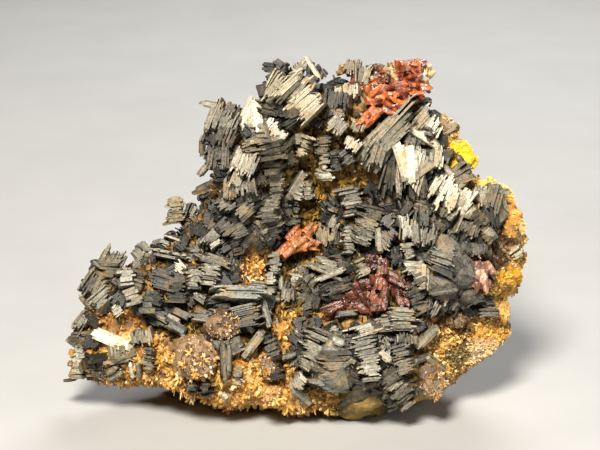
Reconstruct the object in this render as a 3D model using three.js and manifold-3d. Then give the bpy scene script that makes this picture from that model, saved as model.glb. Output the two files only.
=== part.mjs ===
// A cabinet specimen of descloizite: a lump of ochre rock whose front is grown over with dark
// stacks of plate-like crystals, three groups of red and orange crystals, and a hollow lined
// with small ochre blades. Millimetres, +Z up, the crystals facing -Y, resting on its broken base.
import * as THREE from 'three';
import { ImprovedNoise } from 'three/addons/math/ImprovedNoise.js';
import { mergeVertices } from 'three/addons/utils/BufferGeometryUtils.js';
import Module from 'manifold-3d';

// ---------------------------------------------------------------- driving dimensions
// The display frame lies in the front face: across = +X, up leans back, out points at the viewer.
const LEAN_BACK = THREE.MathUtils.degToRad(18);   // how far the front face leans back
const HUB_HEIGHT = 38;                            // height of the display frame's zero above the base
const HUB = new THREE.Vector2(0, -8);             // middle of the rock, in the display frame

const FRONT_DEPTH = 17;          // from the middle of the rock to its front face
const BACK_DEPTH = 25;           // and to its back
const SQUARENESS = 3;            // 2 is an ellipsoid, more is a block with round edges
const FOOT_FORWARD = 11;         // how far the foot of the front juts out
const HEEL_DROP = 16;            // how far the foot of the back reaches down, before the base cuts it
const FRONT_SETBACK = 3;         // how far the whole front lies behind the display frame's zero
const ROCK_DETAIL = 7;           // rows of facets on each face of the starting icosahedron
const BROAD_LUMPS = { height: 4.4, size: 13 };
const SMALL_LUMPS = { height: 3.2, size: 6 };
const BREAK_FLATNESS = 0.92;     // share by which a break planes off what stands past it
const UNDERCUT = 0.88;           // share by which the front foot is drawn up to its lower edge
const UNDERCUT_BACK = [-17, -5]; // and where, from back to front, that sets in

const GAP = 0.32;                // open seam between neighbouring pieces
const ROCK_SEAM = 1.35;          // that seam over the rock, where its facets bend it, in gaps
const FULLNESS = 1.1;            // stacks are this much wider than their rows say, with their skin
const PLATE_FLARE = 0.88;        // foot width of a plate over its head width
const PLATE_LEDGE = 0.14;        // share of a plate's height taken by the ledge over it
const DEPTH_SHARE = 0.66;        // front-to-back thickness of a stack over its width
const THINNEST_STACK = 3;        // least front-to-back thickness of a stack
const HEAD_LIFT = 0.25;          // rise of a stack's head over its foot, as a share of its length
const SMALLEST_PIECE = 12;       // cubic millimetres; smaller crumbs are left off
const SEEDS = { darkStep: 40, red: 300, redStep: 20, back: 400, crust: 500 };

// Outline of the rock seen from the front, anticlockwise from the right.
const ROCK_OUTLINE = [
  [56, 1], [54.6, 9], [48.5, 13], [42.5, 16.5], [43.4, 20.5], [41.5, 24], [37.8, 26.5], [36, 30],
  [31.2, 31.5], [30.5, 36], [28, 40.5], [20, 40.5], [12, 42], [4, 38.5], [-4, 38.5], [-10, 35],
  [-17, 30.5], [-21, 27], [-21.5, 19], [-21.5, 12], [-26, 7.5], [-30, 4.5], [-33, -1], [-40, -5],
  [-48, -8.5], [-52, -14], [-55, -20], [-56.6, -26], [-56.4, -33], [-54, -35], [-48.5, -36.6],
  [-45, -35.6], [-40, -34.6], [-32.5, -36.5], [-25, -39], [-21.5, -42], [-19, -43.6], [-16, -41],
  [-13, -39.4], [-8, -41.2], [-4, -41.4], [-1, -43.6], [4, -42.6], [7, -41.4], [11, -44],
  [16, -45.2], [20, -43.6], [24, -41], [31, -39.6], [36, -37.5], [40.5, -33.6], [46, -30],
  [50, -25], [52.4, -19.5], [53.6, -13], [55, -8],
];

// Lower edge of the front foot, across and up; the foot only reaches the ground at its three lowest points.
const FOOT_EDGE = [
  [-60, -34.2], [-51, -34.8], [-45, -35.2], [-41, -34.2], [-34, -34.7], [-29, -36.8], [-24, -38.6],
  [-19, -42.8], [-15, -39.6], [-10, -40], [-5, -40.6], [-1, -43], [4, -41.2], [8, -41.2], [12, -43.6],
  [16, -44.4], [20, -42.8], [24, -40.6], [31, -38.8], [36, -37.2], [40.5, -33], [46, -29.4], [60, -20],
];

// Swellings and hollows of the front: middle across, middle up, half width, half height, rise.
const FRONT_RELIEF = [
  [-15, 21, 12, 13, 7], [0, 34, 12, 8, 6], [26, 24, 13, 10, 4], [-43, -12, 12, 10, 6],
  [-25, -28, 9, 7, 6], [-15, -17, 9, 7, 3], [8, -30, 9, 8, 5], [23, -28, 8, 8, 3],
  [40, 8, 11, 8, 5], [35, -9, 9, 8, 5], [48, -12, 8, 12, 3], [31, -34, 6, 6, 4],
  [3, 6, 9, 17, -15], [2, -15, 7, 5, -6], [38, -27, 6, 5, -7], [-34, -22, 6, 5, -5],
  [-28, -1, 7, 7, -4], [-47, -31, 7, 4, -3], [33, -19, 3, 6, -3],
];

// Flat breaks of the back and sides: normal across, up, out, and distance from the hub.
const BREAKS = [
  [0.25, 0.55, -0.8, 25], [-0.75, 0.1, -0.65, 33], [0.7, 0.35, -0.62, 34], [0.1, -0.1, -1, 23.5],
  [-0.35, 0.75, -0.56, 29], [0.6, -0.3, -0.74, 32], [-0.45, -0.25, -0.86, 27.5],
];

// ---------------------------------------------------------------- crystal stacks
// Each row: foot across, foot up, foot width, head across, head up, head width, plates,
// and how far its middle stands out from the rock.
const DARK_STACKS = {
  crown_crystals: [
    [-8.5, 40.4, 8.5, -5, 37.5, 8, 2, 2.5],
    [-4.8, 38.6, 8.5, -1, 35, 8, 2, 3],
    [-0.8, 34.7, 8.5, 3.5, 30.2, 7, 2, 3],
    [4.6, 40, 3.4, 1.8, 45.2, 1, 1, 1.5],
    [0.8, 43, 3, -1.6, 40.8, 4, 1, 2],
    [-7, 34.5, 5, -7.5, 30.5, 5, 1, 1.5],
    [6, 34.5, 5, 12.4, 33.5, 4, 2, 2.2],
    [13, 40.5, 6, 17, 39.8, 4, 2, 1.8],
    [11.4, 42.6, 4, 15, 42, 3.6, 1, 1.2],
    [8.4, 36.4, 3, 14.4, 36.2, 2.4, 2, 2.6],
    [7.4, 29.2, 4, 10.6, 26.4, 3.4, 2, 2.2],
    [11, 24.4, 2, 14.5, 22.2, 3.6, 2, 3],
    [-24, 33.4, 2, -13, 31.3, 1.8, 1, 2],
    [-22.3, 30, 7.6, -15.5, 27, 5, 2, 3],
    [-11.8, 30.5, 7.5, -3.5, 25, 2, 3, 3.5],
  ],
  shoulder_crystals: [
    [-22, 20.6, 6.2, -16.6, 20, 6, 2, 2.5],
    [-16.4, 19.6, 5.6, -10.8, 17.4, 5, 2, 3],
    [-24, 25, 1.6, -24.2, 21, 1.4, 1, 1.5],
    [-18.5, 12.5, 5, -10.6, 13, 3.6, 2, 3],
    [-18.8, 10.4, 4, -16.8, 7, 3.4, 2, 2.5],
    [-14.5, 8, 4, -12.3, 5.4, 3.4, 2, 2.5],
    [-19.5, 4.5, 4.5, -17, 1.5, 4, 2, 2.2],
    [-22.5, 1.5, 5, -20, -1.5, 3, 2, 2],
    [-31.4, 10.3, 3, -31, 5, 4.5, 2, 2],
    [-7, 24, 8.6, -6, 16.8, 4, 3, 3.5],
  ],
  hollow_crystals: [
    [1.5, 25.5, 4.6, 0, 20.3, 1.4, 2, 3],
    [5.5, 25.3, 4, 5.8, 19, 2.4, 2, 3],
    [6, 14.7, 3.4, 6, 18.7, 1.4, 2, 3.5],
    [-6.3, 16.5, 4.2, -5.8, 10, 2.4, 2, 2.5],
    [-7.8, 11, 3.5, -8, 5, 4.5, 2, 2],
    [-7.5, 5, 5, -6.2, 1.2, 4, 2, 2],
    [-1.4, 10, 3, -2, 3.5, 2.6, 2, 2],
    [-1.3, 10.3, 3.6, 1, 16.5, 1.4, 2, 3],
    [11.7, 13, 5.5, 13, 6, 3.5, 2, 3],
    [17.7, 8.5, 5.5, 14.8, -1, 3.2, 3, 3.5],
    [3.8, 1, 3.5, 10.2, 1.3, 3, 2, 2.5],
    [11.8, 3, 2.6, 11.7, -3.3, 2.8, 2, 3],
    [8, -4.8, 4.5, 7, -8.5, 7.5, 2, 3],
    [-6.5, -3, 4, -6.2, -8.2, 1.6, 2, 3],
    [-6.7, -8, 2.4, -6.8, -12.8, 2.4, 2, 2.5],
  ],
  upper_right_crystals: [
    [20.2, 27.8, 13.5, 23.8, 24.2, 9, 3, 3],
    [15.9, 22, 6.5, 20.4, 20.4, 7, 2, 3],
    [28, 31, 6, 34, 26.5, 2.6, 2, 2.5],
    [29, 34.4, 4.5, 29.5, 31, 3.5, 1, 1.5],
    [26.5, 19, 9.5, 34.5, 18.8, 3.2, 3, 4],
    [37.5, 18, 5, 40, 14, 5, 2, 2.5],
    [19.5, 15.5, 8, 22.5, 15, 7, 2, 3],
    [22.8, 14.5, 7, 25.3, 14.5, 6.5, 1, 3.2],
    [26, 12.5, 5, 30.5, 13, 4, 2, 2.5],
  ],
  right_crystals: [
    [32, 12.5, 7, 37.5, 10, 6.5, 2, 3.5],
    [38.5, 10.5, 6, 41.5, 8.5, 4.5, 2, 3],
    [41.5, 15.5, 1.4, 36, 10.5, 1.6, 1, 4],
    [37.5, 4, 3.5, 43, 1.8, 2.6, 2, 2.5],
    [49, 9.6, 6, 42, 12, 2.6, 2, 3],
    [48, 6, 5.5, 44, 5.5, 4, 1, 2],
    [24.5, 2.5, 5.5, 29, 2.5, 5.5, 2, 3.5],
    [28.5, 1.5, 4.5, 33, 0.8, 3.5, 2, 3],
    [23, 2.5, 3.5, 19.5, -1, 3.5, 2, 3],
    [35, -1.5, 6, 33, -7.5, 6, 2, 3.5],
    [37.5, -1.8, 3, 46, -2.5, 1.8, 2, 2.5],
    [27.4, -5.6, 5.2, 29.7, -11.5, 1.4, 1, 3.5],
    [43, -5, 5, 43, -11, 4.5, 1, 2],
    [35, -8, 9.5, 35, -11.5, 8.5, 2, 3.5],
    [34.5, -11.5, 7.5, 36, -16, 6, 2, 2.5],
    [27.5, -11, 5, 29, -14, 4, 2, 2.5],
    [45.3, -14, 4.5, 45.5, -18.5, 4, 2, 1.5],
    [50.5, 3.3, 3, 53, 1.2, 2.6, 1, 1.2],
  ],
  left_crystals: [
    [-47, -1.4, 1.8, -54, -13.2, 1.8, 1, 2.6],
    [-47.5, -5.5, 4.5, -46.5, -9, 5, 2, 2.5],
    [-49.5, -11, 6.5, -46, -15.5, 4, 2, 2.5],
    [-42, -8.5, 3.5, -41.5, -12, 3, 2, 2.5],
    [-37.3, -3.8, 5.8, -37, -16.5, 2.8, 3, 3.5],
    [-31, -0.3, 10.5, -32.5, -4.5, 8, 3, 3],
    [-29, -18, 4, -31, -21.5, 5, 2, 2.5],
    [-53.4, -22, 5.5, -53.6, -25.5, 5, 2, 1.5],
    [-20.8, -3.6, 6.5, -22.3, -10.7, 2.8, 2, 3],
    [-26, -6.5, 2.6, -25.7, -11.8, 2.6, 2, 2],
    [-29.5, -9, 5, -29.5, -15, 5, 2, 1.5],
    [-50.6, -21.8, 2.2, -41.8, -25.2, 2.2, 1, 2.5],
    [-41, -23.6, 3, -35.6, -22.6, 3.2, 2, 2.5],
  ],
  lower_left_crystals: [
    [-14.5, -11.3, 10, -14.5, -14.5, 9.5, 2, 3.5],
    [-10.3, -9.7, 3, -10.3, -12.5, 3, 1, 3],
    [-22.8, -16.6, 4, -23.5, -19.5, 4, 2, 2],
    [-14, -16, 8, -13, -21, 7, 2, 2.5],
    [-9.5, -13.5, 2, -7.6, -20.5, 1.8, 1, 3],
    [-53.6, -26.5, 2.6, -54, -33.6, 3, 2, 1.5],
    [-50, -28, 5, -50, -34, 4, 2, 1.2],
    [-36, -26, 3, -36.6, -31, 2.6, 2, 1.5],
    [-25, -31, 13.5, -24.5, -22, 6, 3, 3.5],
    [-18.2, -23.6, 2.2, -17.8, -33, 2.4, 1, 3],
    [-8.6, -21.6, 2.4, -13.2, -27.3, 2, 1, 3],
    [-8.2, -22.5, 3, -6, -28, 3.5, 1, 2.5],
    [-6, -29, 4.5, -5.5, -33, 3, 1, 2],
  ],
  lower_right_crystals: [
    [5.3, -21.8, 7, 0.8, -30.3, 2.6, 2, 3],
    [7.5, -35.5, 9, 8, -26, 6, 3, 3],
    [14.8, -20.4, 6.6, 17.2, -33, 4, 3, 3.5],
    [23.6, -25, 4, 25.2, -31.5, 3.4, 2, 3],
    [20.3, -31.6, 4.6, 26.2, -39, 3.6, 2, 3],
    [24, -16.3, 6, 24, -21.5, 4.5, 2, 3],
    [23, -23.5, 2.6, 28, -23.6, 2.6, 2, 2.5],
    [28.3, -26.6, 2.4, 32.8, -21.4, 1.8, 1, 3],
    [31.3, -37, 8, 31, -28, 7, 2, 2],
  ],
};

// Dark crystals of the back and the top edge, in the same columns, placed from behind.
const BACK_STACKS = [
  [-14, 27, 6, -9, 32, 4, 2, 1.6],
  [6, 36, 5, 11, 38.5, 4, 1, 1.5],
  [33, 22, 6, 38, 18, 4, 1, 1.6],
  [-46, -14, 5.5, -50, -19, 4, 2, 1.5],
  [46, -6, 5, 49, -11, 4, 1, 1.5],
  [-30, 0, 5, -25, 5, 3.6, 1, 1.5],
];

// Red and orange crystals, in the same columns.
const RED_STACKS = {
  red_crystals_top: [
    [21, 35.6, 4.2, 31, 38.4, 4, 2, 3],
    [24.5, 42, 5, 30.6, 43, 4.2, 2, 2],
    [25.5, 39.5, 4.4, 29.5, 41, 3.8, 1, 2.5],
    [16.3, 35, 3.4, 21.5, 35.4, 3.2, 2, 3.5],
    [17, 38, 2.2, 19, 35, 2.6, 1, 3],
    [19.4, 33, 2.4, 15, 28.2, 1.8, 1, 4.5],
    [18.5, 33, 4.5, 24.5, 30.5, 4, 1, 3],
    [30.6, 39.5, 4, 33, 43, 3, 1, 1.5],
  ],
  orange_crystals_middle: [
    [-4.8, -3.5, 2.2, 4, 4, 2, 1, 5.5],
    [-2.2, 0.4, 2, 0.8, 3.6, 1.6, 1, 5],
    [-2.8, -3, 2, 0.6, -1.1, 1.6, 1, 4.5],
    [-1, -0.8, 2.4, 4.7, -1.2, 1.8, 1, 4.5],
  ],
  dark_red_crystals_right: [
    [20.6, -3.3, 2.4, 19.3, -16.3, 2.6, 1, 5],
    [14, -10.5, 4, 19.5, -10.3, 4, 1, 3],
    [6.3, -16.8, 3, 19, -13.2, 4, 2, 4],
    [20, -7.6, 1.8, 26, -9.5, 1.6, 1, 4],
    [19.6, -12, 2.6, 25, -12, 2.2, 1, 3.6],
    [24.2, -12, 2, 25, -17, 1.6, 1, 3.6],
    [17, -4.5, 2.8, 20, -6.8, 2.8, 1, 3],
  ],
};

// Blades of the crust that lines the hollow: foot across, foot up, head across, head up.
const CRUST_BLADES = [
  [2, 19, 3, 16], [9, 14, 7.6, 11], [-3.5, 2.5, -5, -0.5], [6, 6, 8.5, 4.5], [-1, -7, 1.4, -9.5],
  [4, -12, 2.4, -15], [10.5, -6, 12.5, -8.5],
];

// ---------------------------------------------------------------- solids and booleans
const wasm = await Module();
wasm.setup();

const STANDING = new THREE.Matrix4()
  .makeRotationX(Math.PI / 2 - LEAN_BACK)
  .setPosition(0, 0, HUB_HEIGHT);

// A closed geometry as a solid; one drawn in the display frame is stood up first.
function solidOf(geometry, placement = STANDING) {
  const bare = new THREE.BufferGeometry();
  bare.setAttribute('position', geometry.getAttribute('position').clone());
  bare.setIndex(geometry.getIndex());
  bare.applyMatrix4(placement);
  const merged = mergeVertices(bare, 1e-3);
  const corners = merged.getIndex().array;
  const kept = [];
  for (let i = 0; i < corners.length; i += 3) {
    const [a, b, c] = [corners[i], corners[i + 1], corners[i + 2]];
    if (a !== b && b !== c && c !== a) kept.push(a, b, c);
  }
  return new wasm.Manifold(new wasm.Mesh({
    numProp: 3,
    vertProperties: new Float32Array(merged.getAttribute('position').array),
    triVerts: new Uint32Array(kept),
  }));
}

function geometryOf(solid) {
  const mesh = solid.getMesh();
  const geometry = new THREE.BufferGeometry();
  geometry.setAttribute('position', new THREE.BufferAttribute(new Float32Array(mesh.vertProperties), 3));
  geometry.setIndex(new THREE.BufferAttribute(new Uint32Array(mesh.triVerts), 1));
  geometry.computeVertexNormals();
  return geometry;
}

const joined = (solids) => solids.reduce((whole, next) => whole.add(next));

// The same number between 0 and 1 for the same two seeds, every time.
function chance(seed, turn) {
  const wave = Math.sin(seed * 12.9898 + turn * 78.233) * 43758.5453;
  return wave - Math.floor(wave);
}

// ---------------------------------------------------------------- the rock
const noise = new ImprovedNoise();
const outlinePoints = ROCK_OUTLINE.map(([across, up]) => {
  const point = new THREE.Vector2(across, up).sub(HUB);
  return { point, angle: point.angle() };
}).sort((a, b) => a.angle - b.angle);

// Distance from the hub to the outline in one direction.
function outlineReach(angle) {
  const turn = (angle + 2 * Math.PI) % (2 * Math.PI);
  const count = outlinePoints.length;
  let next = outlinePoints.findIndex((entry) => entry.angle > turn);
  if (next < 0) next = 0;
  const a = outlinePoints[(next + count - 1) % count].point;
  const b = outlinePoints[next].point;
  const edge = b.clone().sub(a);
  const ray = new THREE.Vector2(Math.cos(turn), Math.sin(turn));
  return a.cross(b) / ray.cross(edge);
}

function frontRelief(across, up) {
  let rise = 0;
  for (const [middleAcross, middleUp, halfWidth, halfHeight, height] of FRONT_RELIEF) {
    const spread = ((across - middleAcross) / halfWidth) ** 2 + ((up - middleUp) / halfHeight) ** 2;
    rise += height * Math.exp(-spread);
  }
  return rise;
}

// Height of the front foot's lower edge at this place across.
function footEdge(across) {
  const next = FOOT_EDGE.findIndex(([place]) => place > across);
  const [[a, low], [b, high]] = [FOOT_EDGE[next - 1], FOOT_EDGE[next]];
  return THREE.MathUtils.mapLinear(across, a, b, low, high);
}

// Where a direction from the hub meets the rock, in the display frame.
function rockPoint(direction) {
  const side = Math.hypot(direction.x, direction.y);
  const angle = Math.atan2(direction.y, direction.x);
  const full = (side ** SQUARENESS + Math.abs(direction.z) ** SQUARENESS) ** (-1 / SQUARENESS);
  const reach = side * full * outlineReach(angle);
  const point = new THREE.Vector3(HUB.x + reach * Math.cos(angle), HUB.y + reach * Math.sin(angle), 0);
  const facing = direction.z * full;
  const forward = FOOT_FORWARD * THREE.MathUtils.smoothstep(-point.y, 12, 40) - FRONT_SETBACK;
  point.z = forward + facing * (facing > 0 ? FRONT_DEPTH : BACK_DEPTH);
  if (facing > 0) point.z += frontRelief(point.x, point.y) * Math.min(1, facing * 1.5);
  else point.y += HEEL_DROP * facing * THREE.MathUtils.smoothstep(-point.y, -5, 30);

  const outward = direction.clone().normalize();
  const broad = point.clone().divideScalar(BROAD_LUMPS.size);
  point.addScaledVector(outward, BROAD_LUMPS.height * noise.noise(broad.x, broad.y, broad.z + 4));
  for (const [across, up, out, distance] of BREAKS) {
    const normal = new THREE.Vector3(across, up, out).normalize();
    const past = point.x * normal.x + (point.y - HUB.y) * normal.y + point.z * normal.z - distance;
    if (past > 0) point.addScaledVector(normal, -past * BREAK_FLATNESS);
  }
  const small = point.clone().divideScalar(SMALL_LUMPS.size);
  point.addScaledVector(outward, SMALL_LUMPS.height * (noise.noise(small.x + 9, small.y, small.z) - 0.2));

  const below = footEdge(point.x) - point.y;
  if (below > 0) point.y += below * UNDERCUT * THREE.MathUtils.smoothstep(point.z, ...UNDERCUT_BACK);
  return point;
}

function rockGeometry() {
  const geometry = new THREE.IcosahedronGeometry(1, ROCK_DETAIL);
  geometry.deleteAttribute('normal');
  geometry.deleteAttribute('uv');
  const rock = mergeVertices(geometry, 1e-5);
  const places = rock.getAttribute('position');
  const direction = new THREE.Vector3();
  for (let i = 0; i < places.count; i += 1) {
    direction.fromBufferAttribute(places, i);
    const point = rockPoint(direction);
    places.setXYZ(i, point.x, point.y, point.z);
  }
  rock.computeVertexNormals();
  return rock;
}

// The rock's surface moved outwards, to cut what stands on it with an open seam.
function swollen(geometry, distance) {
  const result = geometry.clone();
  const places = result.getAttribute('position');
  const normals = geometry.getAttribute('normal');
  for (let i = 0; i < places.count; i += 1) {
    places.setXYZ(
      i,
      places.getX(i) + normals.getX(i) * distance,
      places.getY(i) + normals.getY(i) * distance,
      places.getZ(i) + normals.getZ(i) * distance,
    );
  }
  return result;
}

const rockShape = rockGeometry();

// How far out the rock reaches at a place of the display frame, in front (side 1) or behind (side -1),
// or at the rock's nearest point where the place lies past its edge.
function rockSurface(across, up, side = 1) {
  const places = rockShape.getAttribute('position');
  const corners = rockShape.getIndex().array;
  let out = -Infinity;
  for (let i = 0; i < corners.length; i += 3) {
    const [ax, ay, az] = [0, 1, 2].map((k) => places.array[corners[i] * 3 + k]);
    const [bx, by, bz] = [0, 1, 2].map((k) => places.array[corners[i + 1] * 3 + k]);
    const [cx, cy, cz] = [0, 1, 2].map((k) => places.array[corners[i + 2] * 3 + k]);
    const area = (bx - ax) * (cy - ay) - (cx - ax) * (by - ay);
    const s = ((across - ax) * (cy - ay) - (cx - ax) * (up - ay)) / area;
    const t = ((bx - ax) * (up - ay) - (across - ax) * (by - ay)) / area;
    const depth = az + s * (bz - az) + t * (cz - az);
    if (s >= 0 && t >= 0 && s + t <= 1) out = Math.max(out, side * depth);
  }
  if (out > -Infinity) return side * out;
  let nearest = Infinity;
  for (let i = 0; i < places.count; i += 1) {
    const distance = Math.hypot(places.getX(i) - across, places.getY(i) - up);
    if (distance < nearest) {
      nearest = distance;
      out = places.getZ(i);
    }
  }
  return out;
}

// ---------------------------------------------------------------- one stack of plates
// A four-sided lathe with a sawtooth profile: each plate widens to its head and ends in a ledge.
function stackGeometry(row, seed, grow, side) {
  const [footAcross, footUp, footWidth, headAcross, headUp, headWidth, plates, stand] = row;
  const lift = stand + HEAD_LIFT * Math.hypot(headAcross - footAcross, headUp - footUp);
  const foot = new THREE.Vector3(footAcross, footUp, rockSurface(footAcross, footUp, side) + side * stand);
  const head = new THREE.Vector3(headAcross, headUp, rockSurface(headAcross, headUp, side) + side * lift);
  const along = head.clone().sub(foot);
  const length = along.length() + 2 * grow;
  along.normalize();
  foot.addScaledVector(along, -grow);

  const profile = [new THREE.Vector2(0, 0)];
  const widthAt = (share) => (THREE.MathUtils.lerp(footWidth, headWidth, share) * FULLNESS) / 2 + grow;
  for (let plate = 0; plate < plates; plate += 1) {
    const start = plate / plates;
    const end = (plate + 1) / plates - (plate < plates - 1 ? PLATE_LEDGE / plates : 0);
    const flare = plates > 1 ? PLATE_FLARE : 1;
    profile.push(new THREE.Vector2(widthAt(start) * flare, start * length));
    profile.push(new THREE.Vector2(widthAt(end), end * length));
  }
  profile.push(new THREE.Vector2(0, length));

  const geometry = new THREE.LatheGeometry(profile, 4);
  const thick = Math.max(THINNEST_STACK, DEPTH_SHARE * Math.max(footWidth, headWidth));
  const deepness = (thick + 2 * grow) / (Math.max(footWidth, headWidth) + 2 * grow);
  const lean = (chance(seed, 1) - 0.5) * 0.7;
  const places = geometry.getAttribute('position');
  for (let i = 0; i < places.count; i += 1) {
    const height = places.getY(i);
    const plate = Math.min(plates - 1, Math.floor((height / length) * plates + 0.001));
    const turn = Math.PI / 4 + (chance(seed, plate + 2) - 0.5) * 0.3;
    const x = places.getX(i) * Math.cos(turn) - places.getZ(i) * Math.sin(turn);
    const z = places.getX(i) * Math.sin(turn) + places.getZ(i) * Math.cos(turn);
    const shift = plates > 1 ? (chance(seed, plate + 7) - 0.5) * 0.2 * footWidth : 0;
    places.setXYZ(i, x * Math.SQRT2 + shift, height, z * Math.SQRT2 * deepness);
  }
  const out = new THREE.Vector3(Math.sin(lean), 0, Math.cos(lean));
  const across = along.clone().cross(out).normalize();
  out.crossVectors(across, along);
  geometry.applyMatrix4(new THREE.Matrix4().makeBasis(across, along, out).setPosition(foot));
  return geometry;
}

const stackSolids = (rows, seed, grow = 0, side = 1) =>
  rows.map((row, index) => solidOf(stackGeometry(row, seed + index, grow, side)));

// ---------------------------------------------------------------- the crust of the hollow
// A thin uneven sheet over the hollow with its small blades standing on it.
const CRUST = { across: 3, up: 3, halfWidth: 11.5, halfHeight: 19, thick: 1.7 };

function crustSheet(grow) {
  const sheet = new THREE.SphereGeometry(1, 9, 5);
  sheet.rotateX(Math.PI / 2);
  const places = sheet.getAttribute('position');
  for (let i = 0; i < places.count; i += 1) {
    const height = places.getZ(i);
    const across = CRUST.across + places.getX(i) * (CRUST.halfWidth + grow);
    const up = CRUST.up + places.getY(i) * (CRUST.halfHeight + grow);
    const level = (height > 0 ? CRUST.thick + grow : CRUST.thick) * Math.min(1, Math.abs(height) * 3);
    places.setXYZ(i, across, up, rockSurface(across, up) + Math.sign(height) * level);
  }
  return sheet;
}

function crustSolid(grow) {
  const blades = CRUST_BLADES.map(([footAcross, footUp, headAcross, headUp], index) => {
    const row = [footAcross, footUp, 2.2, headAcross, headUp, 1.4, 1, 1.7];
    return solidOf(stackGeometry(row, SEEDS.crust + index, grow, 1));
  });
  return joined([solidOf(crustSheet(grow)), ...blades]);
}

// ---------------------------------------------------------------- putting it together
const groundBox = new THREE.BoxGeometry(300, 300, 60);
groundBox.translate(0, 0, -30);
const ground = solidOf(groundBox, new THREE.Matrix4());

const rock = solidOf(rockShape).subtract(ground);
const rockWithSeam = solidOf(swollen(rockShape, GAP * ROCK_SEAM));

const redRegions = Object.entries(RED_STACKS).map(([name, rows], index) => {
  const seed = SEEDS.red + index * SEEDS.redStep;
  return {
    name,
    solid: joined(stackSolids(rows, seed)).subtract(rockWithSeam).subtract(ground),
    fat: joined(stackSolids(rows, seed, GAP)),
  };
});
const redWithSeam = joined(redRegions.map((region) => region.fat));

const darkRegions = Object.entries(DARK_STACKS).map(([name, rows], index) => ({
  name,
  solid: joined(stackSolids(rows, index * SEEDS.darkStep)),
}));
darkRegions.push({ name: 'back_crystals', solid: joined(stackSolids(BACK_STACKS, SEEDS.back, 0, -1)) });
const crust = crustSolid(0).subtract(rockWithSeam).subtract(redWithSeam);
const dark = joined(darkRegions.map((region) => region.solid))
  .subtract(rockWithSeam)
  .subtract(crustSolid(GAP))
  .subtract(redWithSeam)
  .subtract(ground);

// ---------------------------------------------------------------- finishes and scene graph
const finish = (color, roughness, metalness = 0) =>
  new THREE.MeshStandardMaterial({ color, roughness, metalness });
const FINISHES = {
  rock: finish(0xa87c3e, 0.9),
  dark: finish(0x4d4a45, 0.38, 0.35),
  red_crystals_top: finish(0x7a1d10, 0.2),
  orange_crystals_middle: finish(0xb8561f, 0.25),
  dark_red_crystals_right: finish(0x6e2216, 0.25),
  crust: finish(0x8f6c2c, 0.6),
};

// The connected bodies of a solid, largest first, without crumbs.
function bodiesOf(solid) {
  return solid.decompose()
    .filter((body) => body.volume() > SMALLEST_PIECE)
    .sort((a, b) => b.volume() - a.volume());
}

const specimen = new THREE.Group();
const usedNames = new Map();
function addPiece(name, solid, material) {
  const count = (usedNames.get(name) ?? 0) + 1;
  usedNames.set(name, count);
  const mesh = new THREE.Mesh(geometryOf(solid), material);
  mesh.name = count > 1 ? `${name}_${count}` : name;
  specimen.add(mesh);
}

addPiece('matrix', rock, FINISHES.rock);
for (const body of bodiesOf(dark)) {
  const shares = darkRegions.map((region) => body.intersect(region.solid).volume());
  const home = darkRegions[shares.indexOf(Math.max(...shares))];
  addPiece(home.name, body, FINISHES.dark);
}
for (const region of redRegions) {
  for (const body of bodiesOf(region.solid)) addPiece(region.name, body, FINISHES[region.name]);
}
for (const body of bodiesOf(crust)) addPiece('hollow_crust', body, FINISHES.crust);

// The origin is under the middle of the whole specimen, on the surface it stands on.
const bounds = new THREE.Box3().setFromObject(specimen);
const middle = bounds.getCenter(new THREE.Vector3());
specimen.position.set(-middle.x, -middle.y, 0);

export default specimen;
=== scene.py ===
import math

import bpy
import numpy as np
from mathutils import Matrix, Vector
from mathutils.bvhtree import BVHTree
from mathutils.kdtree import KDTree


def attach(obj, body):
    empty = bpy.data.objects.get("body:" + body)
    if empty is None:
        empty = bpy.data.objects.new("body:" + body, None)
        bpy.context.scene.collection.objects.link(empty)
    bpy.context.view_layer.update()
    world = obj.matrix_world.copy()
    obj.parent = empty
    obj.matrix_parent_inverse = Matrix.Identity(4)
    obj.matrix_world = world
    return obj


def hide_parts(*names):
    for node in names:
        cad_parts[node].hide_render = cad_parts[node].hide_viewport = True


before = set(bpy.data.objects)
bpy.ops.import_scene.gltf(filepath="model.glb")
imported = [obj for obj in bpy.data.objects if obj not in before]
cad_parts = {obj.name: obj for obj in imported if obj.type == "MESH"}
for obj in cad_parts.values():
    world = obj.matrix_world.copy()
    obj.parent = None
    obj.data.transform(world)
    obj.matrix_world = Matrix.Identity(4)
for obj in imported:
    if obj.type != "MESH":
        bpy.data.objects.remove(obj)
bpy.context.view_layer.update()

MM = 0.001
DISPLACE_MIDDLE = 0.58

# ---------------------------------------------------------------- the display frame
# Millimetres across, up and out, in the leaning front face, as in the solids.
LEAN_BACK = math.radians(18)
HUB = Vector((1.129, 5.795, 38.0))
ACROSS = Vector((1, 0, 0))
UP = Vector((0, math.sin(LEAN_BACK), math.cos(LEAN_BACK)))
OUT = Vector((0, -math.cos(LEAN_BACK), math.sin(LEAN_BACK)))
TO_PART = np.array((ACROSS, UP, OUT))


def to_part(across, up, out):
    """A place of the display frame as a point of the part, in metres."""
    return (HUB + ACROSS * across + UP * up + OUT * out) * MM


def to_display(points):
    """Points of the part, in metres, as rows of across, up and out in millimetres."""
    return (np.asarray(points) / MM - np.array(HUB)) @ TO_PART.T


def chance(seed, turn):
    """The same number between 0 and 1 for the same two seeds, every time."""
    wave = math.sin(seed * 12.9898 + turn * 78.233) * 43758.5453
    return wave - math.floor(wave)


def between(low, high, share):
    return low + (high - low) * share


def drawn(seed, turn, low, high):
    """A number between low and high, the same for the same two seeds."""
    return between(low, high, chance(seed, turn))


def swing(seed, turn, reach):
    """A number up to half this reach to either side of nothing."""
    return (chance(seed, turn) - 0.5) * reach


def one_of(kinds, seed, turn):
    """One of several patterns."""
    return kinds[int(chance(seed, turn) * len(kinds))]


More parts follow.
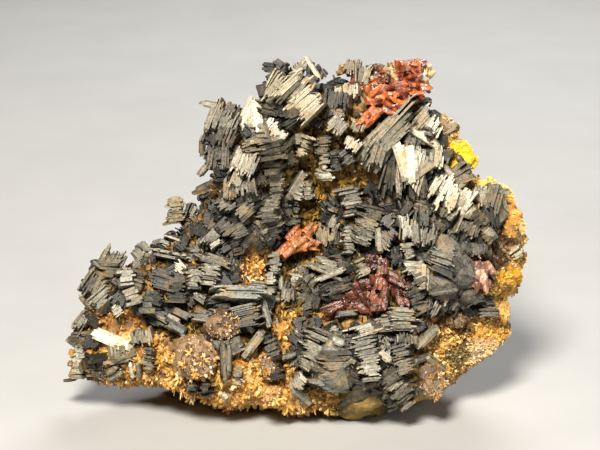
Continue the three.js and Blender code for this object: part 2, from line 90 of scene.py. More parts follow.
# ---------------------------------------------------------------- camera, floor and lights
FRAME_WIDTH = 150.0
LENS = 120.0
SENSOR = 36.0
AIM = (0.0, 3.75, 0.0)
LIGHTS_AIM = Vector((0, 0, 0.04))
WORLD_COLOUR = (0.93, 0.95, 1.0, 1)
WORLD_STRENGTH = 0.012


def look_from(thing, place, target):
    """Sets a camera or light at a place and turns it to a target."""
    thing.location = place
    thing.rotation_euler = (target - place).to_track_quat("-Z", "Y").to_euler()


def add_camera():
    """A long lens, square to the leaning front."""
    data = bpy.data.cameras.new("camera")
    data.lens, data.sensor_width = LENS, SENSOR
    data.clip_start, data.clip_end = 0.01, 20
    camera = bpy.data.objects.new("camera", data)
    bpy.context.scene.collection.objects.link(camera)
    distance = FRAME_WIDTH * LENS / SENSOR
    look_from(camera, to_part(AIM[0], AIM[1], distance), to_part(*AIM))
    bpy.context.scene.camera = camera


def add_light(name, place, size, watts, colour=(1, 1, 1)):
    data = bpy.data.lights.new(name, "AREA")
    data.shape, data.size, data.energy, data.color = "DISK", size, watts, colour
    light = bpy.data.objects.new(name, data)
    bpy.context.scene.collection.objects.link(light)
    look_from(light, Vector(place), LIGHTS_AIM)


def add_world():
    world = bpy.data.worlds.new("studio")
    world.use_nodes = True
    background = world.node_tree.nodes["Background"]
    background.inputs["Color"].default_value = WORLD_COLOUR
    background.inputs["Strength"].default_value = WORLD_STRENGTH
    bpy.context.scene.world = world
    bpy.context.scene.view_settings.view_transform = "Standard"


# ---------------------------------------------------------------- materials
# How far behind the front, in millimetres, the coloured patches begin to show and show in full,
# and how much their edges wander.
PATCH_DEPTHS = (-16, -10)
PATCH_RAGGED = 1.6


class Flow:
    """A socket of a material's nodes, for use in sums."""

    def __init__(self, finish, socket):
        self.finish, self.socket = finish, socket

    def sum(self, operation, *values, clamp=False):
        settings = {"operation": operation, "use_clamp": clamp}
        return self.finish.node("ShaderNodeMath", settings, *values)

    def __add__(self, other):
        return self.sum("ADD", self, other)

    __radd__ = __add__

    def __sub__(self, other):
        return self.sum("SUBTRACT", self, other)

    def __rsub__(self, other):
        return self.sum("SUBTRACT", other, self)

    def __mul__(self, other):
        return self.sum("MULTIPLY", self, other)

    __rmul__ = __mul__

    def within(self):
        return self.sum("ADD", self, 0, clamp=True)


class Finish:
    """A node material under construction."""

    def __init__(self, name, **uniform):
        self.material = bpy.data.materials.new(name)
        self.material.use_nodes = True
        self.nodes = self.material.node_tree.nodes
        self.links = self.material.node_tree.links
        self.shader = self.nodes["Principled BSDF"]
        for key, value in uniform.items():
            self.shader.inputs[key.replace("_", " ").title().replace("Ior", "IOR")].default_value = value
        self.place = self.node("ShaderNodeTexCoord", {}, output="Object")

    def node(self, kind, settings, *values, output=0, **named):
        made = self.nodes.new(kind)
        for key, value in settings.items():
            if key == "stops":
                self.set_stops(made.color_ramp, value)
            else:
                setattr(made, key, value)
        pairs = [(made.inputs[i], value) for i, value in enumerate(values)]
        pairs += [(made.inputs[key.replace("_", " ")], value) for key, value in named.items()]
        for socket, value in pairs:
            if isinstance(value, Flow):
                self.links.new(value.socket, socket)
            elif value is not None:
                socket.default_value = value
        return Flow(self, made.outputs[output])

    @staticmethod
    def set_stops(ramp, stops):
        while len(ramp.elements) < len(stops):
            ramp.elements.new(1)
        for element, (place, colour) in zip(ramp.elements, stops):
            element.position = place
            element.color = (*colour, 1)

    def noise(self, size, detail=4, roughness=0.6, where=None, stretch=None, shift=0):
        """Noise from 0 to 1 with features of about this many millimetres."""
        where = where or self.place
        if stretch or shift:
            settings = {"vector_type": "POINT"}
            where = self.node("ShaderNodeMapping", settings, Vector=where, Scale=stretch or (1, 1, 1),
                              Location=(shift * MM,) * 3)
        return self.node("ShaderNodeTexNoise", {}, Vector=where, Scale=1 / (size * MM), Detail=detail,
                         Roughness=roughness)

    def cells(self, size):
        """Cells of this many millimetres, each with a colour of its own."""
        return self.node("ShaderNodeTexVoronoi", {"feature": "F1"}, Vector=self.place,
                         Scale=1 / (size * MM), output="Color")

    def ramp(self, share, stops):
        return self.node("ShaderNodeValToRGB", {"stops": stops}, Fac=share)

    def mix(self, share, low, high, blend="MIX"):
        made = self.nodes.new("ShaderNodeMix")
        made.data_type, made.blend_type = "RGBA", blend
        for index, value in ((0, share), (6, low), (7, high)):
            if isinstance(value, Flow):
                self.links.new(value.socket, made.inputs[index])
            else:
                made.inputs[index].default_value = value if index == 0 else (*value, 1)
        return Flow(self, made.outputs[2])

    def span(self, value, low, high):
        """0 where the value is below low, 1 where it is above high, smooth between."""
        settings = {"interpolation_type": "SMOOTHSTEP"}
        return self.node("ShaderNodeMapRange", settings, Value=value, From_Min=low, From_Max=high)

    def patched(self, colour, ragged):
        """Lays the coloured patches of the front over a colour, with ragged edges."""
        dot = {"operation": "DOT_PRODUCT"}
        side, rise, out = (self.node("ShaderNodeVectorMath", dot, self.place, axis / MM, output="Value")
                           - HUB.dot(axis) for axis in (ACROSS, UP, OUT))
        flat = self.node("ShaderNodeCombineXYZ", {}, side, rise)
        front = self.span(out, *PATCH_DEPTHS)
        for across, up, wide, high, tint, weight in COLOUR_PATCHES:
            settings = {"operation": "MULTIPLY_ADD"}
            near = self.node("ShaderNodeVectorMath", settings, flat, (1 / wide, 1 / high, 0),
                             (-across / wide, -up / high, 0))
            away = self.node("ShaderNodeVectorMath", {"operation": "LENGTH"}, near, output="Value")
            covered = 1 - self.span(away + (ragged - 0.5) * PATCH_RAGGED, 0.75, 1.05)
            lit = self.mix(0.5, tint, self.mix(1, tint, colour, "OVERLAY"))
            colour = self.mix(covered * front * weight, colour, lit)
        return colour

    def attribute(self, name, output="Fac"):
        return self.node("ShaderNodeAttribute", {"attribute_name": name}, output=output)

    def feed(self, **sockets):
        for key, value in sockets.items():
            self.links.new(value.socket, self.shader.inputs[key.replace("_", " ")])

    def bump(self, height, distance):
        """A bump of this many millimetres."""
        self.feed(Normal=self.node("ShaderNodeBump", {}, Height=height, Distance=distance * MM,
                                   Strength=1.0, output="Normal"))


def dark_crystal_finish():
    """Sooty to silver-cream plates, streaked along their layers, with a brown film in places; the
    silver-cream is partly a painted sheen.
    """
    finish = Finish("dark_crystal", ior=1.6)
    tone, tint = finish.attribute("tone"), finish.attribute("tint")
    grain = finish.attribute("grain", "Vector")
    streaks = finish.noise(0.42, 3, 0.7, grain, (0.0002, 0.001, 1))
    hairs = finish.noise(0.16, 2, 0.6, grain, (0.00015, 0.001, 1))
    flecks = finish.span(finish.noise(0.3, 2, 0.6, grain, (0.00035, 0.001, 1), 7), 0.6, 0.68)
    mottle, grit = finish.noise(1.2, 5, 0.7), finish.noise(0.4, 3, 0.7, shift=3)
    soot = finish.span(finish.noise(0.75, 4, 0.7, shift=17), 0.5, 0.66)
    film = finish.span(finish.noise(4.5, 5, 0.65, shift=31), 0.5, 0.64)
    level = tone + (mottle - 0.5) * 0.42 + (grit - 0.5) * 0.42 + (streaks - 0.5) * 0.24 + (hairs - 0.5) * 0.14
    level = (level - soot * 0.16 - flecks * 0.3).within()
    # The pale end of this ramp is partly a painted sheen of the crystals' lustre.
    grey = finish.ramp(level, [(0.0, (0.004, 0.004, 0.004)), (0.28, (0.028, 0.025, 0.018)),
                               (0.5, (0.15, 0.138, 0.106)), (0.72, (0.38, 0.36, 0.285)),
                               (1.0, (0.82, 0.785, 0.64))])
    cool = finish.mix((tint * -1).within(), grey, (0.72, 0.86, 1.0), "MULTIPLY")
    warm = finish.mix(tint.within(), cool, (1.0, 0.86, 0.6), "MULTIPLY")
    rusty = finish.mix(film * 0.58, warm, finish.mix(level, (0.03, 0.014, 0.004), (0.5, 0.33, 0.13)))
    finish.feed(Base_Color=rusty, Roughness=0.36 + mottle * 0.3 + film * 0.1, Metallic=0.2 - film * 0.2)
    finish.bump(streaks * 0.5 + hairs * 0.25 + mottle * 0.4 + grit * 0.5, 0.16)
    return finish.material


def rock_finish():
    """Ochre and orange-brown rock, golden where it is granular, with darker brown blotches and painted shade
    in the patch under the dark red crystals.
    """
    finish = Finish("ochre_rock", ior=1.5)
    broad, middle = finish.noise(9, 4, 0.6), finish.noise(2.6, 5, 0.7, shift=12)
    fine = finish.noise(0.7, 3, shift=5)
    grains = finish.ramp(finish.cells(0.9), [(0.15, (0.3, 0.24, 0.18)), (0.85, (0.78, 0.74, 0.66))])
    ochre = finish.ramp((middle * 0.75 + fine * 0.25), [
        (0.28, (0.03, 0.014, 0.005)), (0.42, (0.14, 0.068, 0.016)), (0.52, (0.33, 0.185, 0.04)),
        (0.62, (0.55, 0.32, 0.09)), (0.75, (0.7, 0.52, 0.26))])
    brown = finish.mix(finish.span(broad, 0.5, 0.62), ochre, (0.075, 0.034, 0.014))
    sparkle = finish.mix(0.35, brown, grains, "OVERLAY")
    finish.feed(Base_Color=finish.patched(sparkle, middle), Roughness=0.45 + fine * 0.4)
    finish.bump(middle * 0.5 + fine * 0.3 + finish.noise(0.3, 2) * 0.2, 0.5)
    return finish.material


def druse_finish(name, stops, **uniform):
    """Small ochre crystals, each with its own tone, some of them more orange."""
    finish = Finish(name, ior=1.6, **uniform)
    tone, tint = finish.attribute("tone"), finish.attribute("tint")
    mottle = finish.noise(0.9, 4, 0.65)
    ochre = finish.ramp((tone + (mottle - 0.5) * 0.5).within(), stops)
    orange = finish.mix(tint.within(), ochre, (1.0, 0.76, 0.55), "MULTIPLY")
    finish.feed(Base_Color=finish.patched(orange, finish.noise(2.6, 3, shift=12)),
                Roughness=0.22 + mottle * 0.35)
    finish.bump(finish.noise(0.35, 3), 0.1)
    return finish.material


def red_finish(name, stops, cloud, speckle_and_glint_colour, speckle_and_glint_share, **uniform):
    """Glassy red crystal, each part with its own tone, with clouded parts and pale specks that are partly
    frosted spots and partly painted glints.
    """
    finish = Finish(name, ior=1.7, **uniform)
    tone = finish.attribute("tone")
    flaw, fine = finish.noise(1.1, 4, 0.65), finish.noise(0.3, 3, 0.7, shift=9)
    clouded = finish.span(finish.noise(3.2, 4, 0.65, shift=23), 0.48, 0.6)
    clear = finish.ramp((tone + (flaw - 0.5) * 0.55 + (fine - 0.5) * 0.3).within(), stops)
    dull = finish.mix(clouded * 0.65, clear, finish.mix(flaw, (0.03, 0.012, 0.006), cloud))
    # Pale specks: partly frosted spots on the crystal, partly painted glints where light caught it.
    speckles_and_glints = finish.span(fine, 0.56, 0.68) * (0.35 + clouded * 0.65)
    finish.feed(Base_Color=finish.mix(speckles_and_glints * speckle_and_glint_share, dull, speckle_and_glint_colour),
                Roughness=0.16 + flaw * 0.3 + clouded * 0.12)
    finish.bump(finish.noise(0.4, 3) * 0.7 + fine * 0.3, 0.2)
    return finish.material


# Patches of colour on the front: across, up, half width, half height, colour, weight. Most are the rock's own
# colours; a few are painted highlight or painted shade, as marked.
COLOUR_PATCHES = [
    # The bright yellow patch at 41, 20.8 and the pale one at 50, 13: partly the rim's own yellow and partly
    # painted highlight, where light fell on the rim.
    (41, 20.8, 4.6, 5, (0.95, 0.68, 0.03), 0.9), (52, -9, 3.8, 3.2, (0.62, 0.42, 0.03), 0.85),
    (50, 13, 8, 3.4, (0.86, 0.72, 0.3), 0.7), (52, 8.6, 4, 4.6, (0.78, 0.52, 0.14), 0.75),
    (51.4, 3, 3.6, 2.2, (0.5, 0.27, 0.06), 0.7), (51.4, -1.8, 2.8, 3, (0.4, 0.27, 0.16), 0.8),
    (55, 1.6, 1.6, 4, (0.72, 0.58, 0.36), 0.7), (47.4, -3.6, 2.6, 3.2, (0.16, 0.085, 0.03), 0.8),
    (50.5, -14.5, 3.8, 4.8, (0.72, 0.55, 0.2), 0.7), (47, -23.2, 5, 3, (0.6, 0.4, 0.1), 0.8),
    (45.4, -27.4, 5.4, 3.4, (0.5, 0.44, 0.33), 0.85), (38.5, -28.5, 3, 3.6, (0.1, 0.085, 0.025), 0.85),
    (38, -18.6, 5.6, 4, (0.17, 0.09, 0.02), 0.9), (15.5, -40.5, 8, 6, (0.26, 0.21, 0.06), 0.85),
    (-42.6, -15, 3.2, 3.2, (0.78, 0.56, 0.12), 0.8), (-44, -19.8, 8, 3.4, (0.4, 0.26, 0.1), 0.8),
    (-45, -25, 8, 2.6, (0.85, 0.6, 0.26), 0.6), (-56.5, -30, 2, 4, (0.5, 0.34, 0.15), 0.8),
    (-49.6, -31, 3, 4.4, (0.06, 0.06, 0.055), 0.8), (35.6, 28, 3.4, 3.2, (0.3, 0.27, 0.2), 0.8),
    (31, 34.6, 1.6, 4, (0.4, 0.22, 0.09), 0.8), (34, -36.5, 6, 4, (0.42, 0.33, 0.2), 0.6),
    # The near-black patch at 18, -11: painted shade on the rock and druse under the dark red crystals.
    (18, -11, 9, 6.5, (0.06, 0.035, 0.018), 0.6), (-9, -37, 15, 6, (1.0, 0.68, 0.3), 0.34),
]
OCHRE_STOPS = [
    (0.0, (0.05, 0.02, 0.006)), (0.2, (0.19, 0.085, 0.016)), (0.45, (0.5, 0.265, 0.045)),
    (0.7, (0.76, 0.47, 0.12)), (1.0, (0.92, 0.8, 0.52)),
]
HOLLOW_STOPS = [
    (0.0, (0.02, 0.011, 0.004)), (0.3, (0.075, 0.046, 0.009)), (0.55, (0.2, 0.125, 0.02)),
    (0.78, (0.46, 0.31, 0.06)), (1.0, (0.75, 0.6, 0.27)),
]
RIM_STOPS = [
    (0.0, (0.08, 0.035, 0.01)), (0.25, (0.32, 0.16, 0.03)), (0.55, (0.66, 0.42, 0.09)),
    (0.8, (0.84, 0.64, 0.24)), (1.0, (0.95, 0.88, 0.58)),
]
RED_STOPS = [
    (0.0, (0.015, 0.004, 0.002)), (0.3, (0.075, 0.014, 0.005)), (0.55, (0.25, 0.038, 0.012)),
    (0.8, (0.56, 0.115, 0.016)), (1.0, (0.82, 0.34, 0.1)),
]
ORANGE_STOPS = [
    (0.0, (0.06, 0.012, 0.005)), (0.4, (0.24, 0.045, 0.01)), (0.7, (0.46, 0.13, 0.022)),
    (1.0, (0.76, 0.36, 0.12)),
]
# The palest stop of the domes' colours is partly a painted highlight, reached mostly by the grains on their
# front faces.
DOME_STOPS = [
    (0.0, (0.02, 0.012, 0.007)), (0.4, (0.1, 0.057, 0.03)), (0.75, (0.38, 0.23, 0.11)),
    (1.0, (0.95, 0.86, 0.72)),
]
AMBER_STOPS = [
    (0.0, (0.02, 0.01, 0.004)), (0.35, (0.12, 0.06, 0.016)), (0.65, (0.42, 0.26, 0.07)),
    (1.0, (0.9, 0.78, 0.5)),
]
PINK_STOPS = [
    (0.0, (0.03, 0.014, 0.01)), (0.35, (0.2, 0.08, 0.045)), (0.6, (0.5, 0.25, 0.14)),
    (0.8, (0.72, 0.5, 0.38)), (1.0, (0.95, 0.86, 0.78)),
]
DARK_RED_STOPS = [
    (0.0, (0.008, 0.003, 0.002)), (0.35, (0.036, 0.008, 0.004)), (0.65, (0.13, 0.027, 0.011)),
    (1.0, (0.42, 0.14, 0.06)),
]


# ---------------------------------------------------------------- seeds
# Where each kind of crystal starts to count, and the steps between the seeds of its parts.
REGION_SEEDS = 40
BLADE_SEED, SCALE_SEED = 0.5, 0.7
BACK_SEED, RED_SEED, SIDE_SEED, RIM_SEED = 400, 700, 800, 850
DOME_SEED, SMALL_SEED, UNDER_SEED = 900, 1000, 3000
RED_SEEDS, SIDE_SEEDS = 30, 20
LAYER_SEED, PART_SEED, END_SEED, STRAND_SEED, BUD_SEED = 0.37, 0.173, 0.31, 0.417, 0.731


# ---------------------------------------------------------------- modelling helpers
# Millimetres: how far the streaks shift from copy to copy, the lowest that a copy reaches,
# and the height from which small crystals grow.
GRAIN_SHIFT = 0.37
LOWEST = 0.02
GROWING_FLOOR = 0.6


def deselect():
    if bpy.context.object and bpy.context.object.mode != "OBJECT":
        bpy.ops.object.mode_set(mode="OBJECT")
    bpy.ops.object.select_all(action="DESELECT")


def pick(piece):
    """Makes one object the only one selected."""
    deselect()
    piece.select_set(True)
    bpy.context.view_layer.objects.active = piece
    return piece


def apply_modifiers(piece):
    pick(piece)
    for modifier in list(piece.modifiers):
        bpy.ops.object.modifier_apply(modifier=modifier.name)


class Pattern:
    """A modelled crystal as plain arrays, ready to be copied many times."""

    def __init__(self, piece):
        mesh = piece.data
        self.points = np.empty((len(mesh.vertices), 3))
        mesh.vertices.foreach_get("co", self.points.ravel())
        self.corners = np.empty(len(mesh.loops), dtype=np.int64)
        mesh.loops.foreach_get("vertex_index", self.corners)
        self.sides = np.empty(len(mesh.polygons), dtype=np.int64)
        mesh.polygons.foreach_get("loop_total", self.sides)
        bpy.data.objects.remove(piece)


class Heap:
    """Copies of patterns gathered into one mesh, each with its own tone and tint."""

    def __init__(self):
        self.points, self.corners, self.sides, self.tones, self.tints, self.grains = [], [], [], [], [], []
        self.count = 0

    def add(self, pattern, axes, origin, size, tone, tint=0.0):
        """axes holds the directions of the copy's width, depth and height, in rows."""
        shaped = pattern.points * np.array(size)
        self.points.append(shaped @ np.array(axes) + np.array(origin))
        grain = np.column_stack((shaped[:, 0] + shaped[:, 1], shaped[:, 2]))
        self.grains.append(grain + self.count * GRAIN_SHIFT)
        self.corners.append(pattern.corners + self.count)
        self.sides.append(pattern.sides)
        self.tones.append(np.full(len(shaped), tone))
        self.tints.append(np.full(len(shaped), tint))
        self.count += len(shaped)

    def piece(self, name, material):
        """One object that rides the root."""
        piece = self.shape(name, material)
        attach(piece, "root")
        return piece

    def fused(self, name, material, voxel, waves):
        """The same, with its copies run together into one mass with a wavy skin."""
        piece = self.shape(name, material)
        fine = piece.modifiers.new("fused", "REMESH")
        fine.mode, fine.voxel_size, fine.use_smooth_shade = "VOXEL", voxel * MM, True
        soft = piece.modifiers.new("soft", "SMOOTH")
        soft.iterations = 1
        for number, (size, height) in enumerate(waves):
            rough(piece, f"{name}_{number}", "CLOUDS", size, height)
        apply_modifiers(piece)
        tree = KDTree(self.count)
        for index, place in enumerate(np.concatenate(self.points) @ TO_PART + np.array(HUB)):
            tree.insert(Vector(place) * MM, index)
        tree.balance()
        tones = np.concatenate(self.tones)
        near = [tones[tree.find(vertex.co)[1]] for vertex in piece.data.vertices]
        piece.data.attributes.new("tone", "FLOAT", "POINT").data.foreach_set("value", near)
        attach(piece, "root")
        return piece

    def shape(self, name, material):
        """One object in metres from copies placed in millimetres of the display frame."""
        points = np.concatenate(self.points) @ TO_PART + np.array(HUB)
        points[:, 2] = np.maximum(points[:, 2], LOWEST)
        corners, sides = np.concatenate(self.corners), np.concatenate(self.sides)
        mesh = bpy.data.meshes.new(name)
        mesh.vertices.add(len(points))
        mesh.vertices.foreach_set("co", (points * MM).ravel())
        mesh.loops.add(len(corners))
        mesh.loops.foreach_set("vertex_index", corners)
        mesh.polygons.add(len(sides))
        mesh.polygons.foreach_set("loop_start", np.concatenate(((0,), np.cumsum(sides)[:-1])))
        mesh.update(calc_edges=True)
        mesh.shade_flat()
        for key, values in (("tone", self.tones), ("tint", self.tints)):
            mesh.attributes.new(key, "FLOAT", "POINT").data.foreach_set("value", np.concatenate(values))
        grain = mesh.uv_layers.new(name="grain")
        grain.data.foreach_set("uv", np.concatenate(self.grains)[corners].ravel())
        mesh.materials.append(material)
        piece = bpy.data.objects.new(name, mesh)
        bpy.context.scene.collection.objects.link(piece)
        return piece


def rough(piece, name, kind, size, strength, **settings):
    """Pushes the surface in and out by a clouded texture, in millimetres."""
    texture = bpy.data.textures.new(name, kind)
    texture.noise_scale = size * MM
    for key, value in settings.items():
        setattr(texture, key, value)
    push = piece.modifiers.new(name, "DISPLACE")
    push.texture, push.strength, push.mid_level = texture, strength * MM, DISPLACE_MIDDLE


# ---------------------------------------------------------------- crystals modelled once
def cut_block(cuts, low=(-0.5, -0.5)):
    """A block from 0 to 1 in height, cut by slanting planes into a crystal with flat faces."""
    deselect()
    bpy.ops.mesh.primitive_cube_add(size=1, location=(low[0] + 0.5, low[1] + 0.5, 0.5))
    block = bpy.context.object
    bpy.ops.object.transform_apply(location=True)
    bpy.ops.object.mode_set(mode="EDIT")
    for through, facing in cuts:
        bpy.ops.mesh.select_all(action="SELECT")
        bpy.ops.mesh.bisect(plane_co=through, plane_no=facing, use_fill=True, clear_outer=True)
    bpy.ops.object.mode_set(mode="OBJECT")
    return Pattern(block)


def plate(seed):
    """A long flat plate with a nearly flush front and ragged, slanting ends."""
    cuts = []
    for side in (-1, 1):
        slope = -drawn(seed, side + 41, 0.0, 0.012)
        facing = (swing(seed, side + 51, 0.1), side, slope)
        cuts.append(((0, side * drawn(seed, side + 31, 0.485, 0.5), 1), facing))
        lean, rake = swing(seed, side + 71, 0.9), swing(seed, side + 81, 0.16)
        cuts.append(((side * drawn(seed, side + 61, 0.44, 0.5), 0, 1), (side, lean, rake)))
        for end in (-1, 1):
            reach = drawn(seed, side + end * 3 + 91, 0.34, 0.48)
            facing = (end, side * drawn(seed, end + 9, 0.25, 0.8), -0.03)
            cuts.append(((end * reach, side * 0.5, 1), facing))
    return cut_block(cuts)


def spike(sides, top, seed):
    """A small crystal of few sides that narrows to a slanting end."""
    deselect()
    bpy.ops.mesh.primitive_cone_add(vertices=sides, radius1=0.5, radius2=top / 2, depth=1.1,
                                    location=(0, 0, 0.55))
    piece = bpy.context.object
    bpy.ops.object.transform_apply(location=True)
    bpy.ops.object.mode_set(mode="EDIT")
    bpy.ops.mesh.select_all(action="SELECT")
    lean = (chance(seed, 1) - 0.5, chance(seed, 2) - 0.5, 1.2)
    bpy.ops.mesh.bisect(plane_co=(0, 0, 0.86), plane_no=lean, use_fill=True, clear_outer=True)
    bpy.ops.object.mode_set(mode="OBJECT")
    return Pattern(piece)


def prism(seed):
    """A six-sided prism under a slanting point."""
    cuts = []
    for i in range(6):
        turn = math.pi / 3 * i + 0.25 * chance(seed, i)
        across, deep = math.cos(turn), math.sin(turn)
        reach = drawn(seed, i + 10, 0.36, 0.47)
        cuts.append(((reach * across, reach * deep, 0), (across, deep, 0)))
        if i % 2:
            cuts.append(((0, 0, drawn(seed, i + 30, 1.0, 1.2)), (across, deep, 0.8)))
    return cut_block(cuts)


def chip(seed):
    """A broken lump with a face towards every side."""
    cuts = []
    for i in range(7):
        facing = Vector([chance(seed, i + turn) - 0.5 for turn in (0, 10, 20)]).normalized()
        through = Vector((0, 0, 0.5)) + facing * drawn(seed, i + 30, 0.34, 0.5)
        cuts.append((through, facing))
    return cut_block(cuts)


def scale(seed):
    """A low dome of broken facets, flat behind."""
    cuts = []
    for i in range(18):
        turn, rise = 2 * math.pi * chance(seed, i), chance(seed, i + 30)
        flat = math.sqrt(1 - rise * rise)
        facing = Vector((math.cos(turn) * flat, rise, math.sin(turn) * flat))
        reach = Vector((0.25 * facing.x, facing.y, 0.25 * facing.z))
        far = reach / math.sqrt(reach.dot(facing)) * drawn(seed, i + 60, 0.9, 1.0)
        cuts.append((Vector((0, 0, 0.5)) + far, facing))
    return cut_block(cuts, (-0.5, 0))


def round_layer(seed):
    """A flat layer with a broken outline of many sides, a little narrower in front."""
    cuts = []
    for i in range(11):
        turn = math.pi / 5.5 * (i + 0.8 * chance(seed, i))
        across, high = math.cos(turn), math.sin(turn)
        reach = drawn(seed, i + 20, 0.36, 0.5)
        facing = (across, drawn(seed, i + 40, 0.04, 0.2), high)
        cuts.append(((reach * across, 0, 0.5 + reach * high), facing))
    return cut_block(cuts, (-0.5, 0))


PLATES = [plate(seed) for seed in range(9)]
BLADES = [spike(4, 0.35, seed) for seed in range(5)]
GRAINS = [spike(4 + seed % 2, 0.7, seed + 10) for seed in range(6)]
PRISMS = [prism(seed) for seed in range(4)]
CHIPS = [chip(seed) for seed in range(4)]
SCALES = [scale(seed) for seed in range(4)]
LAYERS = [round_layer(seed) for seed in range(5)]
WEDGE = cut_block([((0.5, 0.5, 0.5), (1, 1, 0)), ((0, 0, 0.8), (0.25, 0.2, 1))], (0, 0))


# ---------------------------------------------------------------- the rock's surface
class Ground:
    """Finds the surface of a mesh by a place of the display frame."""

    def __init__(self, *pieces):
        places, faces = [], []
        for piece in pieces:
            mesh = piece.data
            points = np.empty((len(mesh.vertices), 3))
            mesh.vertices.foreach_get("co", points.ravel())
            start = sum(len(part) for part in places)
            places.append(to_display(points))
            faces += [tuple(corner + start for corner in face.vertices) for face in mesh.polygons]
        self.places = np.concatenate(places)
        self.tree = BVHTree.FromPolygons(self.places.tolist(), faces)
        self.flat = KDTree(len(self.places))
        for index, (across, up, _) in enumerate(self.places):
            self.flat.insert((across, up, 0), index)
        self.flat.balance()

    def out(self, across, up, side=1):
        """How far out the surface lies there, or at its nearest point where the place is past the edge."""
        hit, _, _, _ = self.tree.ray_cast(Vector((across, up, side * 200)), Vector((0, 0, -side)))
        if hit is not None:
            return hit.z
        _, index, _ = self.flat.find((across, up, 0))
        return self.places[index][2]

    def covers(self, across, up, margin):
        """Whether the mesh lies behind a place and this far to each side of it."""
        for step in ((0, 0), (margin, 0), (-margin, 0), (0, margin), (0, -margin)):
            start = Vector((across + step[0], up + step[1], 200))
            if self.tree.ray_cast(start, Vector((0, 0, -1)))[0] is None:
                return False
        return True


ROCK = Ground(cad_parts["matrix"])
WHOLE = Ground(*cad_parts.values())
